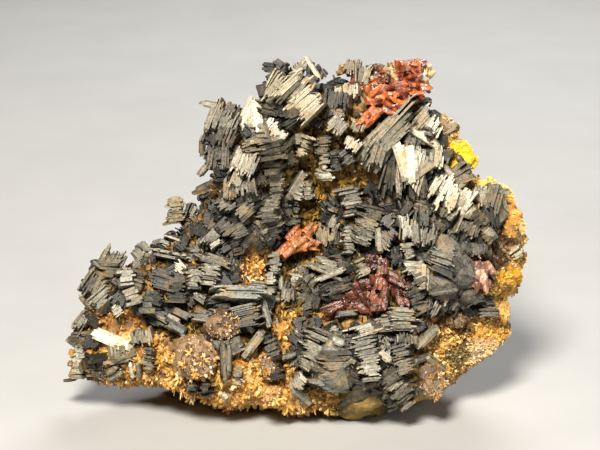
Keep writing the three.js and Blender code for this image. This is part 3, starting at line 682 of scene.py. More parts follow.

# ---------------------------------------------------------------- where the dark crystals stand
# Each row: foot across, foot up, foot width, head across, head up, head width,
# how far its middle stands out from the rock, tone (0 black, 1 silver) and tint (-1 blue, 1 tan).
# The tones here and in the tables of dark crystals below are partly the crystals' own colour and
# partly painted light: silver-cream where the faces caught the light, near black where they lay in shade.
STACKS = {
    "crown_plates": [
        (-7.4, 38.4, 6.8, -4.6, 36.4, 7.4, 2.5, 0.66, 0.45),
        (-4.4, 38, 8.2, -0.8, 34.6, 8, 3, 0.74, 0.35),
        (-0.8, 34.7, 8.5, 3.5, 30.2, 7, 3, 0.62, 0.45),
        (0.8, 43, 3, -1.6, 40.8, 4, 2, 0.5, 0.2),
        (2, 37, 6, 2.6, 40.6, 3, 1.4, 0.22, 0),
        (-7, 34.5, 5, -7.5, 30.5, 5, 1.5, 0.3, 0.6),
        (-3.5, 31.5, 5, -1.5, 28, 5, 1.4, 0.22, 0.3),
        (6, 34.5, 5, 12.4, 33.5, 4, 2.2, 0.36, 0.1),
        (13, 40.5, 6, 17, 39.8, 4, 1.8, 0.5, 0.7),
        (11.4, 42.6, 4, 15, 42, 3.6, 1.2, 0.5, 0.6),
        (8.4, 36.4, 3, 14.4, 36.2, 2.4, 2.6, 0.72, 0.1),
        (7.4, 29.2, 4, 10.6, 26.4, 3.4, 2.2, 0.5, 0.2),
        (12.4, 28, 2, 15.5, 26.8, 2, 2.5, 0.6, 0.7),
        (11, 24.4, 2, 14.5, 22.2, 3.6, 3, 0.75, 0.1),
        (10.5, 21.5, 4, 12.5, 18.8, 3, 2, 0.35, 0),
        (-22.3, 30, 7.6, -15.5, 27, 5, 3, 0.46, 0.1),
        (-11.8, 30.5, 7.5, -3.5, 25, 2, 3.5, 0.78, 0.1),
        (-18.5, 31.8, 4.5, -13.5, 29.2, 4, 1.6, 0.3, 0.1),
    ],
    "shoulder_plates": [
        (-22, 20.6, 6.2, -16.6, 20, 6, 2.5, 0.48, 0.2),
        (-16.4, 19.6, 5.6, -10.8, 17.4, 5, 3, 0.56, 0.25),
        (-23, 24.2, 4.5, -20.5, 22.2, 4, 1.4, 0.36, 0.2),
        (-20, 25.6, 5, -15.5, 23.6, 5, 1.6, 0.4, 0.2),
        (-16, 15.6, 4, -13.5, 14.5, 3, 1.5, 0.46, 0.3),
        (-18.5, 12.5, 5, -10.6, 13, 3.6, 3, 0.48, 0.2),
        (-18.8, 10.4, 4, -16.8, 7, 3.4, 2.5, 0.46, 0.4),
        (-14.5, 8, 4, -12.3, 5.4, 3.4, 2.5, 0.46, 0.1),
        (-19.5, 4.5, 4.5, -17, 1.5, 4, 2.2, 0.42, 0.2),
        (-15.5, 4, 3, -14, 1, 3, 2, 0.46, 0.1),
        (-22.5, 1.5, 5, -20, -1.5, 3, 2, 0.48, 0.1),
        (-32.2, 10.6, 3.4, -31.4, 4.4, 5, 2, 0.66, 0.8),
        (-28.5, 8, 3, -25.5, 6.5, 3, 1.5, 0.46, 0),
        (-24, 13.6, 4, -22.5, 10, 4, 1.3, 0.36, 0.3),
        (-7, 24, 8.6, -6, 16.8, 4, 3.5, 0.36, 0.55, 1.8),
        (-3.5, 22, 3, -2.5, 19, 3, 2.5, 0.46, 0.3),
        (-12, 24.2, 4.5, -11, 20.5, 4, 1.6, 0.36, 0.4),
    ],
    "hollow_plates": [
        (1.5, 25.5, 4.6, 0, 20.3, 1.4, 3, 0.62, 0.8),
        (-1, 26, 3, -1, 23.5, 2.4, 2, 0.5, 0.4),
        (5.5, 25.3, 4, 5.8, 19, 2.4, 3, 0.46, 0.2),
        (8, 22, 2.4, 8.8, 17, 2.2, 2, 0.4, 0.1),
        (6, 14.7, 3.4, 6, 18.7, 1.4, 3.5, 0.78, 0.1),
        (-6.3, 16.5, 4.2, -5.8, 10, 2.4, 2.5, 0.5, 0.2),
        (-7.8, 11, 3.5, -8, 5, 4.5, 2, 0.46, 0.2),
        (-7.5, 5, 5, -6.2, 1.2, 4, 2, 0.5, 0.1),
        (-1.4, 10, 3, -2, 3.5, 2.6, 2, 0.3, 0.1),
        (-1.3, 10.3, 3.6, 1, 16.5, 1.4, 3, 0.8, 0),
        (1.8, 15, 2.4, 1.9, 10.3, 2.6, 2.6, 0.5, 0.1),
        (11.7, 13, 5.5, 13, 6, 3.5, 3, 0.5, 0.1),
        (17.7, 8.5, 5.5, 14.8, -1, 3.2, 3.5, 0.5, 0.1),
        (3.8, 1, 3.5, 10.2, 1.3, 3, 2.5, 0.5, 0.4),
        (11.8, 3, 2.6, 11.7, -3.3, 2.8, 3, 0.55, 0.1),
        (8, -4.8, 4.5, 7, -8.5, 7.5, 3, 0.62, 0.1),
        (8, -9.5, 6, 9, -12.6, 5, 1.5, 0.26, 0),
        (14, -4.5, 2.6, 16, -8.5, 3, 2.5, 0.5, 0.6),
        (-6.5, -3, 4, -6.2, -8.2, 1.6, 3, 0.55, 0.1),
        (-6.7, -8, 2.4, -6.8, -12.8, 2.4, 2.5, 0.5, 0),
        (-4.5, -13.3, 2.6, -1.2, -13.5, 3, 2.5, 0.5, 0.1),
    ],
    "upper_right_plates": [
        (20.2, 27.8, 13.5, 23.8, 24.2, 9, 3, 0.5, 0.45),
        (15.9, 22, 6.5, 20.4, 20.4, 7, 3, 0.5, 0.3),
        (28, 31, 6, 34, 26.5, 2.6, 2.5, 0.68, 0.1),
        (29, 34.4, 4.5, 29.5, 31, 3.5, 1.5, 0.2, 0),
        (25, 24.5, 3, 28.5, 23, 3, 3, 0.5, 0),
        (26.5, 19, 9.5, 34.5, 18.8, 3.2, 2.6, 0.72, 0.2, 1.6),
        (33, 21.5, 4, 36.5, 20, 3, 1.4, 0.34, 0.2),
        (37.5, 18, 5, 40, 14, 5, 2.5, 0.5, 0.3),
        (36, 29.4, 3.4, 37.5, 26.8, 3, 1, 0.6, 0.6),
        (19.5, 15.5, 8, 22.5, 15, 7, 3, 0.42, 0.3),
        (22.8, 14.5, 7, 25.3, 14.5, 6.5, 3.2, 0.42, 0.2),
        (26, 12.5, 5, 30.5, 13, 4, 2.5, 0.26, 0.3),
        (24.5, 8, 4, 26.5, 6.5, 3, 2.5, 0.36, 0.6),
    ],
    "right_plates": [
        (32, 12.5, 7, 37.5, 10, 6.5, 3.5, 0.78, 0.1),
        (38.5, 10.5, 6, 41.5, 8.5, 4.5, 3, 0.78, 0.1),
        (34.5, 8, 3, 37.5, 6, 3, 3, 0.48, 0.2),
        (37.5, 4, 3.5, 43, 1.8, 2.6, 2.5, 0.44, 0.6),
        (41.2, 8, 3, 43.5, 4.5, 3.5, 3, 0.44, 0.5),
        (43.8, 3.5, 3, 46.5, 0.3, 2.6, 2.5, 0.44, 0.5),
        (41.6, 11.4, 4, 48.4, 9, 7, 2.6, 0.5, 0.1, 1.2),
        (48, 6, 5.5, 44, 5.5, 4, 1, 0.1, 0.6),
        (24.5, 2.5, 5.5, 29, 2.5, 5.5, 3.5, 0.58, 0),
        (28.5, 1.5, 4.5, 33, 0.8, 3.5, 3, 0.54, 0),
        (27, 5, 4.5, 31, 5, 4, 2.4, 0.4, -0.4),
        (25.6, -0.6, 3, 26.2, -4.4, 2, 2.5, 0.54, 0),
        (23, 2.5, 3.5, 19.5, -1, 3.5, 3, 0.39, 0.1),
        (35, -1.5, 6, 33, -7.5, 6, 3.5, 0.38, -0.4),
        (37.5, -1.8, 3, 46, -2.5, 1.8, 2.5, 0.4, -0.3),
        (27.4, -5.6, 5.2, 29.7, -11.5, 1.4, 3.5, 0.5, 0),
        (27.5, -11, 5, 29, -14, 4, 2.5, 0.36, 0.4),
        (28.5, -14.5, 4.5, 29.5, -17.3, 3.5, 2, 0.36, 0.3),
        (41, -12.5, 4, 42, -15.5, 4, 2, 0.26, 0),
        (45.3, -14, 4.5, 45.5, -18.5, 4, 1.5, 0.3, 0),
        (50.5, 3.3, 3, 53, 1.2, 2.6, 1.2, 0.56, 0.8),
        (52.4, -1.6, 3, 54.2, -4.2, 2.6, 0.8, 0.56, 0.7),
    ],
    "left_plates": [
        (-42.4, -7.6, 5, -42, -11.2, 4.4, 3, 0.58, -0.1, 1.5),
        (-41.4, -11.4, 4, -40, -15.5, 3.6, 2.6, 0.6, 0.1, 1.5),
        (-46.9, -8.6, 6.6, -46.4, -5.4, 4.8, 3.2, 0.54, 0.1, 1.8),
        (-44.4, -7.2, 5.4, -48.6, -4.4, 6.8, 2.4, 0.56, 0.2),
        (-47.4, -12.6, 5.4, -51.8, -9.8, 7, 2, 0.52, 0.1),
        (-46.4, -15.6, 5, -48.8, -12.8, 6, 3.4, 0.5, 0.1),
        (-38.5, -1.5, 2.8, -41.5, -4, 2.4, 2, 0.56, 0.1, 1.6),
        (-41, -6, 3.5, -39, -7.5, 3, 1.5, 0.26, 0),
        (-37.3, -3.2, 4.6, -36.8, -17, 3.6, 3.5, 0.52, -0.5, 2.4),
        (-31, -0.3, 10.5, -32.5, -4.5, 8, 3, 0.55, -0.2, 1.6),
        (-33.5, 1.8, 2.5, -32, -0.5, 3, 2, 0.5, 0),
        (-28.5, -6, 2.6, -30.5, -7.7, 1.8, 2, 0.78, 0),
        (-32, -7.5, 6, -33.5, -12, 5, 1.6, 0.32, -0.2),
        (-29.5, -9, 5, -29.5, -15, 5, 1.5, 0.34, 0.5),
        (-45.5, -16, 2, -43.5, -18, 2, 2, 0.75, 0),
        (-28, -17, 4.4, -30.4, -21.6, 5.4, 2.5, 0.52, -0.5, 2.6),
        (-34, -17, 4.5, -35.5, -20.5, 4.5, 1.4, 0.34, 0.2),
        (-55, -19.6, 5.5, -52.4, -21.4, 5, 1.6, 0.44, 0.3),
        (-50, -18, 4.6, -51.5, -20.4, 4, 1.6, 0.36, 0.4),
        (-53.4, -22, 5.5, -53.6, -25.5, 5, 1.5, 0.46, 0.5),
        (-20.8, -3.6, 6.5, -22.3, -10.7, 2.8, 3, 0.55, 0.1),
        (-26, -6.5, 2.6, -25.7, -11.8, 2.6, 2, 0.5, 0),
        (-41, -23.6, 3, -35.6, -22.6, 3.2, 2.5, 0.62, 0.1),
    ],
    "lower_left_plates": [
        (-14.5, -11.3, 10, -14.5, -14.5, 9.5, 3.5, 0.5, -0.6),
        (-10.3, -9.7, 3, -10.3, -12.5, 3, 3, 0.55, -0.3),
        (-23.5, -13.3, 3.5, -24.5, -14.8, 2.4, 2, 0.5, 0),
        (-22.8, -16.6, 4, -23.5, -19.5, 4, 2, 0.46, 0.1),
        (-20, -14, 5, -19.5, -17.5, 5, 1.4, 0.26, 0),
        (-14, -16, 8, -13, -21, 7, 2.5, 0.36, 0.3),
        (-53.6, -26.5, 2.8, -54, -34, 3.2, 2.4, 0.56, -0.4, 2.4),
        (-49.4, -28, 4.4, -49.6, -34, 3.6, 1.2, 0.32, 0.1),
        (-46.5, -27, 3, -42, -26.4, 2.6, 1.5, 0.5, 0.4),
        (-36, -26, 3, -36.6, -31, 2.6, 1.5, 0.4, 0.8),
        (-8.2, -22.5, 3, -6, -28, 3.5, 2.5, 0.3, 0.4),
        (-6, -29, 4.5, -5.5, -33, 3, 2, 0.3, 0.6),
        (-15, -34, 3, -14.5, -30.6, 1.4, 2, 0.62, 0.3),
        (-25.5, -36.8, 2.6, -25.6, -33.6, 2.4, 1.5, 0.4, 0.6),
        (-22.4, -37.2, 2.6, -22.8, -33.2, 2.2, 1.5, 0.4, 0.6),
    ],
    "lower_right_plates": [
        (5.3, -21.8, 7, 0.8, -30.3, 2.6, 3, 0.6, 0.2),
        (7.5, -35.5, 8, 8, -26, 6, 2, 0.49, -0.4),
        (14.8, -20.4, 6.6, 17.2, -33, 4, 3.5, 0.51, 0.1),
        (23.6, -25, 4, 25.2, -31.5, 3.4, 3, 0.51, 0.2),
        (20.3, -31.6, 4.6, 26.2, -39, 3.6, 3, 0.51, 0.3),
        (24, -16.3, 6, 24, -21.5, 4.5, 3, 0.47, 0.1),
        (23, -23.5, 2.6, 28, -23.6, 2.6, 2.5, 0.51, 0.1),
        (-1.2, -34.6, 2.2, 1.3, -32.6, 2.6, 2.5, 0.8, 0.1),
        (11.5, -15.5, 6, 12, -18.5, 5, 1.6, 0.31, 0.1),
        (20, -18, 4.5, 20.5, -22, 4, 1.5, 0.33, 0.2),
    ],
}

BACK_STACKS = [
    (-14, 27, 6, -9, 32, 4, 1.6, 0.4, 0.2),
    (6, 36, 5, 11, 38.5, 4, 1.5, 0.4, 0.2),
    (33, 22, 6, 38, 18, 4, 1.6, 0.45, 0.2),
    (-46, -14, 5.5, -50, -19, 4, 1.5, 0.4, 0),
    (41, -3, 5, 43.5, -8, 4, 1, 0.4, 0.1),
    (-30, 0, 5, -25, 5, 3.6, 1.5, 0.4, 0),
]

# Long thin blades seen on edge: from across, up, to across, up, width, stand, tone, tint.
EDGE_BLADES = {
    "crown_plates": [
        (1.4, 45, 5.2, 39.2, 1, 2, 0.85, 0.5), (1.2, 44.6, -0.8, 41.4, 1, 1.6, 0.7, 0.3),
        (-24.3, 33.9, -12.8, 31.3, 1.5, 2, 0.62, 0.3), (-24.2, 25.2, -24.5, 21, 1.1, 1.5, 0.6, 0.6),
        (-14.2, 27.8, -10.8, 34.6, 2.6, 5, 0.9, 0.25), (-10, 27.6, -11.2, 34.4, 2.2, 5.2, 0.95, 0.1),
    ],
    "shoulder_plates": [
        (-25.2, 16.2, -22.5, 19.6, 1.2, 1.8, 0.6, 0.3), (-11.3, 23.6, -3, 24.9, 1.5, 4.5, 0.6, 0.5),
    ],
    "hollow_plates": [(-10.8, 4.6, -5, 0.5, 1.2, 3, 0.6, 0.2), (3.5, -9.9, 10.8, -7, 1.2, 4.2, 0.75, 0.1),
                      (-4.7, -8.5, -4.7, -12, 0.9, 2.5, 0.7, 0), (-8, -14.4, -4.6, -14, 1.4, 2.5, 0.6, 0)],
    "upper_right_plates": [
        (14.4, 19.3, 17.6, 25.2, 1.5, 4, 0.6, 0.3), (15.5, 17.6, 19.1, 22.6, 1.4, 4.4, 0.6, 0.2),
        (17, 17, 20.8, 21.8, 1.2, 4, 0.4, 0.1), (18.3, 16.6, 22.6, 23.6, 1.4, 4.6, 0.62, 0.2),
        (15, 22.8, 25.6, 32.6, 1.6, 4.4, 0.62, 0.6), (18.6, 21.8, 27, 30, 1.4, 4.6, 0.6, 0.5),
        (26.2, 13.8, 23.4, 23.4, 2.4, 6.5, 0.84, 0.3), (26.8, 13.9, 26.4, 22.4, 3, 7, 0.86, 0.3),
        (34.8, 18.6, 38.6, 13.6, 1.2, 3, 0.6, 0.3), (41.8, 16.6, 38.6, 20.4, 1.2, 2.5, 0.5, 0.3),
    ],
    "right_plates": [
        (41.6, 15.6, 36, 10.5, 1, 5, 0.66, 0.2), (19.3, -3.2, 19, 3, 1.5, 4.6, 0.6, 0.1),
        (24, 6.9, 25.3, 2.5, 1.2, 4.5, 0.9, 0), (24.9, -5.6, 30, -6, 1.4, 5, 0.75, 0),
        (31, -12.6, 38, -11.6, 1.3, 5, 0.5, 0), (42.6, 12.6, 50.6, 11.6, 1.4, 5, 0.6, 0.3),
        (46.2, -15, 47.6, -19, 1.4, 2, 0.8, 0),
    ],
    "left_plates": [
        (-46.6, -1.4, -53.6, -13.6, 1.3, 2.2, 0.6, 0.4), (-51, -22, -41.6, -25.6, 2.6, 3.4, 1.0, 0.1),
        (-57.4, -34.6, -55, -34.2, 0.6, 0.4, 0.5, 1.4),
        (-54, -13.6, -51.2, -17.2, 1.3, 2, 0.6, 0.7),
    ],
    "lower_left_plates": [
        (-18.4, -23.6, -17.8, -33.2, 1.3, 3.4, 0.44, 1.4), (-16.9, -24.5, -16.9, -31.5, 1.1, 3, 0.4, 1.2),
        (-8.6, -21.4, -13.3, -27.4, 1.9, 3.6, 0.62, 0.6), (-9.5, -13.2, -7.4, -20.8, 1.6, 3.4, 0.5, 0.2),
        (-47.5, -29.7, -41, -28.3, 1.3, 2, 0.6, 0.3), (-47, -34, -43.3, -32, 1.3, 1.8, 0.6, 0.2),
        (-47.4, -32.5, -44.5, -30.8, 1.2, 1.8, 0.6, 0.2), (-41, -29.5, -40.5, -33.7, 0.9, 2, 0.9, 0),
        (-39.2, -29.5, -38.7, -32.8, 1.1, 1.8, 0.5, 0), (-20.1, -40.4, -18, -37.4, 1.8, 2, 0.85, 0.2),
        (-4.4, -28.1, -0.9, -26.9, 1.2, 3, 0.55, 0), (-14, -17.6, -11.2, -22.2, 1.2, 3.6, 0.5, 0.2),
    ],
    "lower_right_plates": [
        (8.6, -23, 1.5, -30.6, 1.4, 4.4, 0.7, 0.1), (7.4, -23.5, 10.7, -24.6, 1.6, 3, 0.75, -0.3),
        (17.8, -25.8, 21.7, -28.7, 1.6, 3.2, 0.72, 0.3), (30.4, -27.9, 35.1, -31.7, 1.7, 3.6, 0.62, 0.8),
        (27.8, -25.6, 33.1, -20.9, 2, 3.6, 0.66, 0.4), (27, -29, 31.4, -27.6, 1.4, 3, 0.5, 0),
        (-2, -35, 2.4, -39.1, 1.8, 2.4, 0.6, 0.4), (14.5, -35.5, 19.6, -33.4, 1.2, 2.6, 0.5, 0.9),
        (25.4, -20.2, 27.1, -21.6, 1.1, 3.4, 0.8, -0.4), (4.4, -28, 7.2, -25.4, 1.4, 4, 0.6, -0.5),
        (7.2, -25.4, 12.8, -28.8, 1.4, 4, 0.6, -0.5),
    ],
}

# Large flat triangular faces: three corners, each across, up and stand, then tone and tint. Their high tones
# are painted highlights, where the faces caught the light.
FACES = {
    "crown_plates": [((-11, 34.8, 4), (-14.4, 27.6, 6.4), (-9.6, 27.4, 6), 0.9, 0.25)],
    "hollow_plates": [((1, 17, 4), (-3.2, 10.2, 4.6), (0.6, 10, 4.2), 0.85, 0.1)],
    "upper_right_plates": [((23.2, 23.4, 5.4), (26.4, 13.4, 7), (28.6, 21.4, 8), 0.84, 0.3),
                           ((26.6, 13.6, 7), (33, 18.2, 6), (27.6, 20.6, 7.6), 0.7, 0.3),
                           ((25.8, 26.8, 4), (30.8, 32.2, 3.4), (34.8, 21.6, 3.6), 0.88, 0.05)],
    "right_plates": [((24.8, -5.4, 5.6), (29.8, -11.8, 5), (30.2, -5.8, 5.6), 0.8, 0),
                     ((47.8, 9.6, 4.6), (49.6, 12.4, 4.4), (51.2, 6.6, 3.8), 0.62, 0.3),
                     ((47.8, 9.6, 4.6), (51.2, 6.4, 3.8), (48.8, 4.2, 3.6), 0.58, 0.3)],
    "lower_right_plates": [((13.6, -34, 1.6), (9, -40.6, 2), (19.6, -36.2, 2.4), 0.34, 1.0),
                           ((-1.6, -34.2, 3), (0.4, -36, 3), (0.6, -31.6, 3.2), 0.85, 0)],
    "lower_left_plates": [((-20.4, -18.4, 3.4), (-19.6, -22.2, 3.6), (-18, -19, 3.4), 0.9, 0)],
}

# Rounded scales, one behind the other: across, up, width, height, depth, the way the hidden
# ones lie in degrees, stand, tone, tint, how many, and the step between them.
SCALE_ROWS = {
    "lower_left_plates": [(-42.6, -28, 7, 2.6, 2, 100, 1.4, 0.5, 0.7, 4, 0.5)],
    "lower_right_plates": [(8.2, -31.8, 8.6, 9.4, 2.6, 110, 2, 0.42, -0.5, 4, 0.8)],
    "right_plates": [
        (34.6, -4.6, 8.6, 7.4, 2.4, 60, 3.4, 0.44, -0.2, 3, 0.9),
        (38.6, -8.4, 7.6, 6.4, 2, 40, 3, 0.4, -0.1, 3, 0.8), (34, -11.4, 8, 6, 2, 100, 3, 0.38, 0, 3, 0.8),
        (40.8, -13.6, 5.4, 4.6, 1.8, 45, 2.4, 0.38, 0, 2, 0.8),
        (35.6, 11.8, 4, 6, 1.4, 150, 4, 0.85, 0.3, 3, 0.8),
        (38.8, 10, 4.4, 5.6, 1.4, 150, 4, 0.8, 0.4, 3, 0.8),
        (41.4, 7, 3.6, 4.6, 1.3, 150, 3.6, 0.62, 0.5, 2, 0.8),
        (43.4, 5.2, 3.2, 4.6, 1.3, 150, 3.4, 0.6, 0.6, 2, 0.8),
        (45.6, 1.6, 2.8, 4.6, 1.2, 140, 3, 0.56, 0.4, 2, 0.7),
        (41.2, 2.6, 4.8, 3, 1.2, 120, 3, 0.5, 0.3, 2, 0.7),
    ],
}
# Domes of layers: across, up, width, height, rise, the way their stepped side faces in degrees,
# stand, tone, tint and how many layers.
DOMES = [
    (-24.9, -27.4, 13.4, 11.8, 4.2, 128, 0.6, 0.5, 0, 13),
    (-18.8, -19.6, 11.6, 8, 3.4, 110, 0.8, 0.45, 0, 9), (-7, -29.6, 6.4, 7.4, 2.8, 60, 0.8, 0.5, 0, 8),
    (-6.8, -36.4, 6, 4.4, 2, 75, 0.6, 0.55, 0, 6), (31.2, -33.4, 8.4, 10, 3, 140, 0.2, 0.36, 0, 9),
    (38, -18.6, 8, 6, 2, 110, 0, 0.3, 0, 4),
]

FULLNESS = 1.1
SMALLEST_LAYER = 0.3
LAYER_DEPTH = 1.1
DEPTH_SHARE = 0.66
THINNEST_STACK = 3.0
HEAD_LIFT = 0.25
FLAT_SHARE = 0.75
RECESSED = 0.13
FRAYED = 0.45
BLOCK_STEP = 1.5


def turned(along, side, lean):
    """Directions of width, depth and height for something that grows along this direction."""
    facing = Vector((math.sin(lean), 0, side * math.cos(lean)))
    facing = (facing - along * facing.dot(along)).normalized()
    return Matrix((facing.cross(along), facing, along))


def lay_stack(heap, row, seed, side=1):
    """Thin plates in flush blocks from foot to head; a tenth value makes plates and blocks coarser."""
    foot_across, foot_up, foot_width, head_across, head_up, head_width, stand, tone, tint, *coarse = row
    coarse = coarse[0] if coarse else 1.0
    flat = Vector((head_across - foot_across, head_up - foot_up, 0))
    lift = stand + HEAD_LIFT * flat.length
    foot = Vector((foot_across, foot_up, ROCK.out(foot_across, foot_up, side) + side * stand))
    head = Vector((head_across, head_up, ROCK.out(head_across, head_up, side) + side * lift))
    along = (flat.normalized() * FLAT_SHARE + (head - foot).normalized() * (1 - FLAT_SHARE)).normalized()
    axes = turned(along, side, swing(seed, 1, 0.7))
    widest = max(foot_width, head_width)
    thick = max(THINNEST_STACK, DEPTH_SHARE * widest)
    steps = max(2, round(flat.length / (drawn(seed, 2, 0.42, 0.6) * coarse)))
    pitch = flat.length / steps
    tilt = math.radians(drawn(seed, 3, -6, 14))
    fan = math.radians(drawn(seed, 4, -22, 22))
    step = 0
    while step < steps:
        turn = seed * 7.3 + step
        count = min(1 + int(chance(turn, 5) * 6 / coarse ** 1.5), steps - step)
        share = (step + count / 2) / steps
        span = between(foot_width, head_width, share)
        width = FULLNESS * span * drawn(turn, 8, 0.86, 1.12)
        front = thick * max(0.5, span / widest) / 2 + (chance(turn, 7) - 0.5) * BLOCK_STEP
        back = -(thick / 2 + stand * 0.6)
        block = Matrix.Rotation(fan * (share - 0.5), 3, "Y")
        block = block @ Matrix.Rotation(tilt + swing(turn, 31, 0.2), 3, "X")
        block = block @ Matrix.Rotation(swing(turn, 10, 0.24), 3, "Z")
        shape = block.transposed() @ axes
        shift = (chance(turn, 6) - 0.5) * (0.3 + 0.1 * width)
        middle = foot + (head - foot) * share + axes[0] * shift + axes[1] * ((front + back) / 2)
        shade = tone + swing(turn, 9, 0.26)
        for number in range(count):
            place = middle + shape[2] * ((number - (count - 1) / 2) * pitch)
            high = pitch * (1.12 if number < count - 1 else drawn(turn, 18, 0.7, 1.05))
            mark = turn + number * PART_SEED
            lay_plate(heap, shape, place, (width, front - back, high), shade, tint, mark, coarse)
        step += count


def lay_plate(heap, shape, middle, size, shade, tint, turn, coarse):
    """One plate of a block, now and then short or set back, with slivers that fray its ends."""
    width, deep, high = size
    ends = [(0.5 + (chance(turn, 11 + end) - 0.6) * 0.26) * width for end in (0, 1)]
    if chance(turn, 13) < 0.3:
        ends[int(chance(turn, 14) * 2)] -= drawn(turn, 15, 0.1, 0.3) * width
    middle = middle + shape[0] * ((ends[1] - ends[0]) / 2) + shape[1] * swing(turn, 16, 0.3)
    if chance(turn, 29) < RECESSED:
        middle -= shape[1] * drawn(turn, 30, 0.3, 0.8)
    shade += swing(turn, 19, 0.1)
    kind = one_of(PLATES, turn, 20)
    heap.add(kind, shape, middle - shape[2] * (high / 2), (sum(ends), deep, high), shade, tint)
    for end in (-1, 1):
        mark = turn + end * END_SEED
        if chance(mark, 21) < FRAYED / coarse:
            part = drawn(mark, 22, 0.14, 0.3) * width + 0.4
            spread = Matrix.Rotation(math.radians(swing(mark, 23, 36)), 3, "Y")
            reach = sum(ends) * 0.5 - part * drawn(mark, 24, 0.0, 0.45)
            place = middle + shape[0] * (end * reach)
            place += (shape[1] * ((chance(mark, 25) - 0.4) * 0.6)
                      + shape[2] * ((chance(mark, 26) - 0.7) * high))
            small = (part, deep * 0.9, high * drawn(mark, 27, 0.4, 0.8))
            kind = one_of(PLATES, mark, 28)
            heap.add(kind, spread.transposed() @ shape, place, small, shade + 0.08, tint)


def lay_edge_blade(heap, row, seed):
    """A long blade seen on its edge, with two thinner ones pressed against it."""
    from_across, from_up, to_across, to_up, width, stand, tone, tint = row
    start = Vector((from_across, from_up, ROCK.out(from_across, from_up) + stand))
    end = Vector((to_across, to_up, ROCK.out(to_across, to_up) + stand))
    along, length = (end - start).normalized(), (end - start).length
    axes = turned(along, 1, swing(seed, 1, 0.5))
    for layer, (shift, short) in enumerate(((0, 1.0), (0.42, 0.86), (-0.4, 0.78))):
        deep = drawn(seed, layer + 2, 2.0, 3.2)
        high = width * (0.62 if layer == 0 else 0.35)
        middle = start + along * (length * (0.5 + swing(seed, layer + 5, 0.1)))
        middle += axes[0] * (shift * width + high / 2) - axes[1] * (deep * 0.35)
        kind = one_of(PLATES, seed, layer + 8)
        flat_axes = Matrix((along, axes[1], axes[0] * -1))
        shade = tone - (layer > 0) * 0.15
        heap.add(kind, flat_axes, middle, (length * short * 1.05, deep, high), shade, tint)


def lay_face(heap, corners, tone, tint):
    """A flat triangular plate through three corners, with three more behind it, each a step further back, a
    little wider and painted darker as shade.
    """
    a, b, c = (Vector((across, up, ROCK.out(across, up) + stand)) for across, up, stand in corners)
    facing = (b - a).cross(c - a).normalized()
    if facing.z < 0:
        b, c, facing = c, b, -facing
    # Each copy set back a step is painted darker, as shade.
    for step in range(4):
        shift = facing * (-0.75 * step) + (c - a) * (0.05 * step)
        grow = 1 + 0.07 * step
        axes = Matrix(((b - a) * grow, (c - a) * grow, facing * 0.7))
        heap.add(WEDGE, axes, a + shift - facing * 0.7, (1, 1, 1), tone - 0.12 * step, tint)


def lay_scales(heap, row, seed):
    """A low dome with others behind it, each a step further on and a little lower."""
    across, up, width, height, deep, way, stand, tone, tint, count, step = row
    way = math.radians(way)
    along = Vector((math.cos(way), math.sin(way), 0.12)).normalized()
    out = ROCK.out(across, up)
    for number in range(count):
        mark = seed + number * LAYER_SEED
        axes = turned(along, 1, swing(mark, 1, 0.3))
        spread = Matrix.Rotation(swing(mark, 2, 0.3), 3, "Y")
        size = (width * drawn(mark, 3, 0.86, 1.04), deep, height * drawn(mark, 4, 0.86, 1.0))
        place = Vector((across, up, out + stand - 0.4 * number)) + along * (step * number - size[2] / 2)
        kind = one_of(SCALES, mark, 6)
        heap.add(kind, spread.transposed() @ axes, place, size, tone + swing(mark, 5, 0.16), tint)


def lay_dome(heap, row, seed):
    """Layers one on another, each smaller and shifted away from the stepped side."""
    across, up, width, height, rise, way, stand, tone, tint, count = row
    way = math.radians(way)
    aside = Vector((math.cos(way), math.sin(way), 0))
    out = ROCK.out(across, up) + stand
    for number in range(count):
        mark = seed + number * LAYER_SEED
        share = number / (count - 1)
        grow = between(1.0, SMALLEST_LAYER, share)
        lean = Matrix.Rotation(swing(mark, 2, 1.1), 3, "Y")
        upright = (Vector((0, 1, swing(mark, 5, 0.24))) - aside * 0.06).normalized()
        axes = lean.transposed() @ turned(upright, 1, swing(mark, 1, 0.24))
        size = (width * grow, LAYER_DEPTH, height * grow * drawn(mark, 3, 0.95, 1.05))
        high = out + rise * math.sin(share * math.pi / 2)
        place = Vector((across, up, high)) - aside * (min(width, height) * (1 - grow) * 0.45)
        shade = tone + swing(mark, 4, 0.5)
        kind = one_of(LAYERS, mark, 6)
        heap.add(kind, axes, place - axes[2] * (size[2] / 2), size, shade, tint)


def solids_of(name):
    """The solids that a piece of plates stands for."""
    return [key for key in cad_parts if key.rstrip("_0123456789") == name.replace("plates", "crystals")]


def dark_pieces(finish):
    """The dark crystals of each region of the front, and the few behind."""
    for index, (name, rows) in enumerate(STACKS.items()):
        heap = Heap()
        for number, row in enumerate(rows):
            lay_stack(heap, row, index * REGION_SEEDS + number)
        for number, row in enumerate(EDGE_BLADES[name]):
            lay_edge_blade(heap, row, index * REGION_SEEDS + number + BLADE_SEED)
        for number, row in enumerate(SCALE_ROWS.get(name, [])):
            lay_scales(heap, row, index * REGION_SEEDS + number + SCALE_SEED)
        for *corners, tone, tint in FACES.get(name, []):
            lay_face(heap, corners, tone, tint)
        piece = heap.piece(name, finish)
        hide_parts(*solids_of(name))
    heap = Heap()
    for number, row in enumerate(BACK_STACKS):
        lay_stack(heap, row, BACK_SEED + number, -1)
    piece = heap.piece("back_plates", finish)
    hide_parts(*solids_of("back_plates"))


# ---------------------------------------------------------------- the rock
ROCK_VOXEL = 0.68


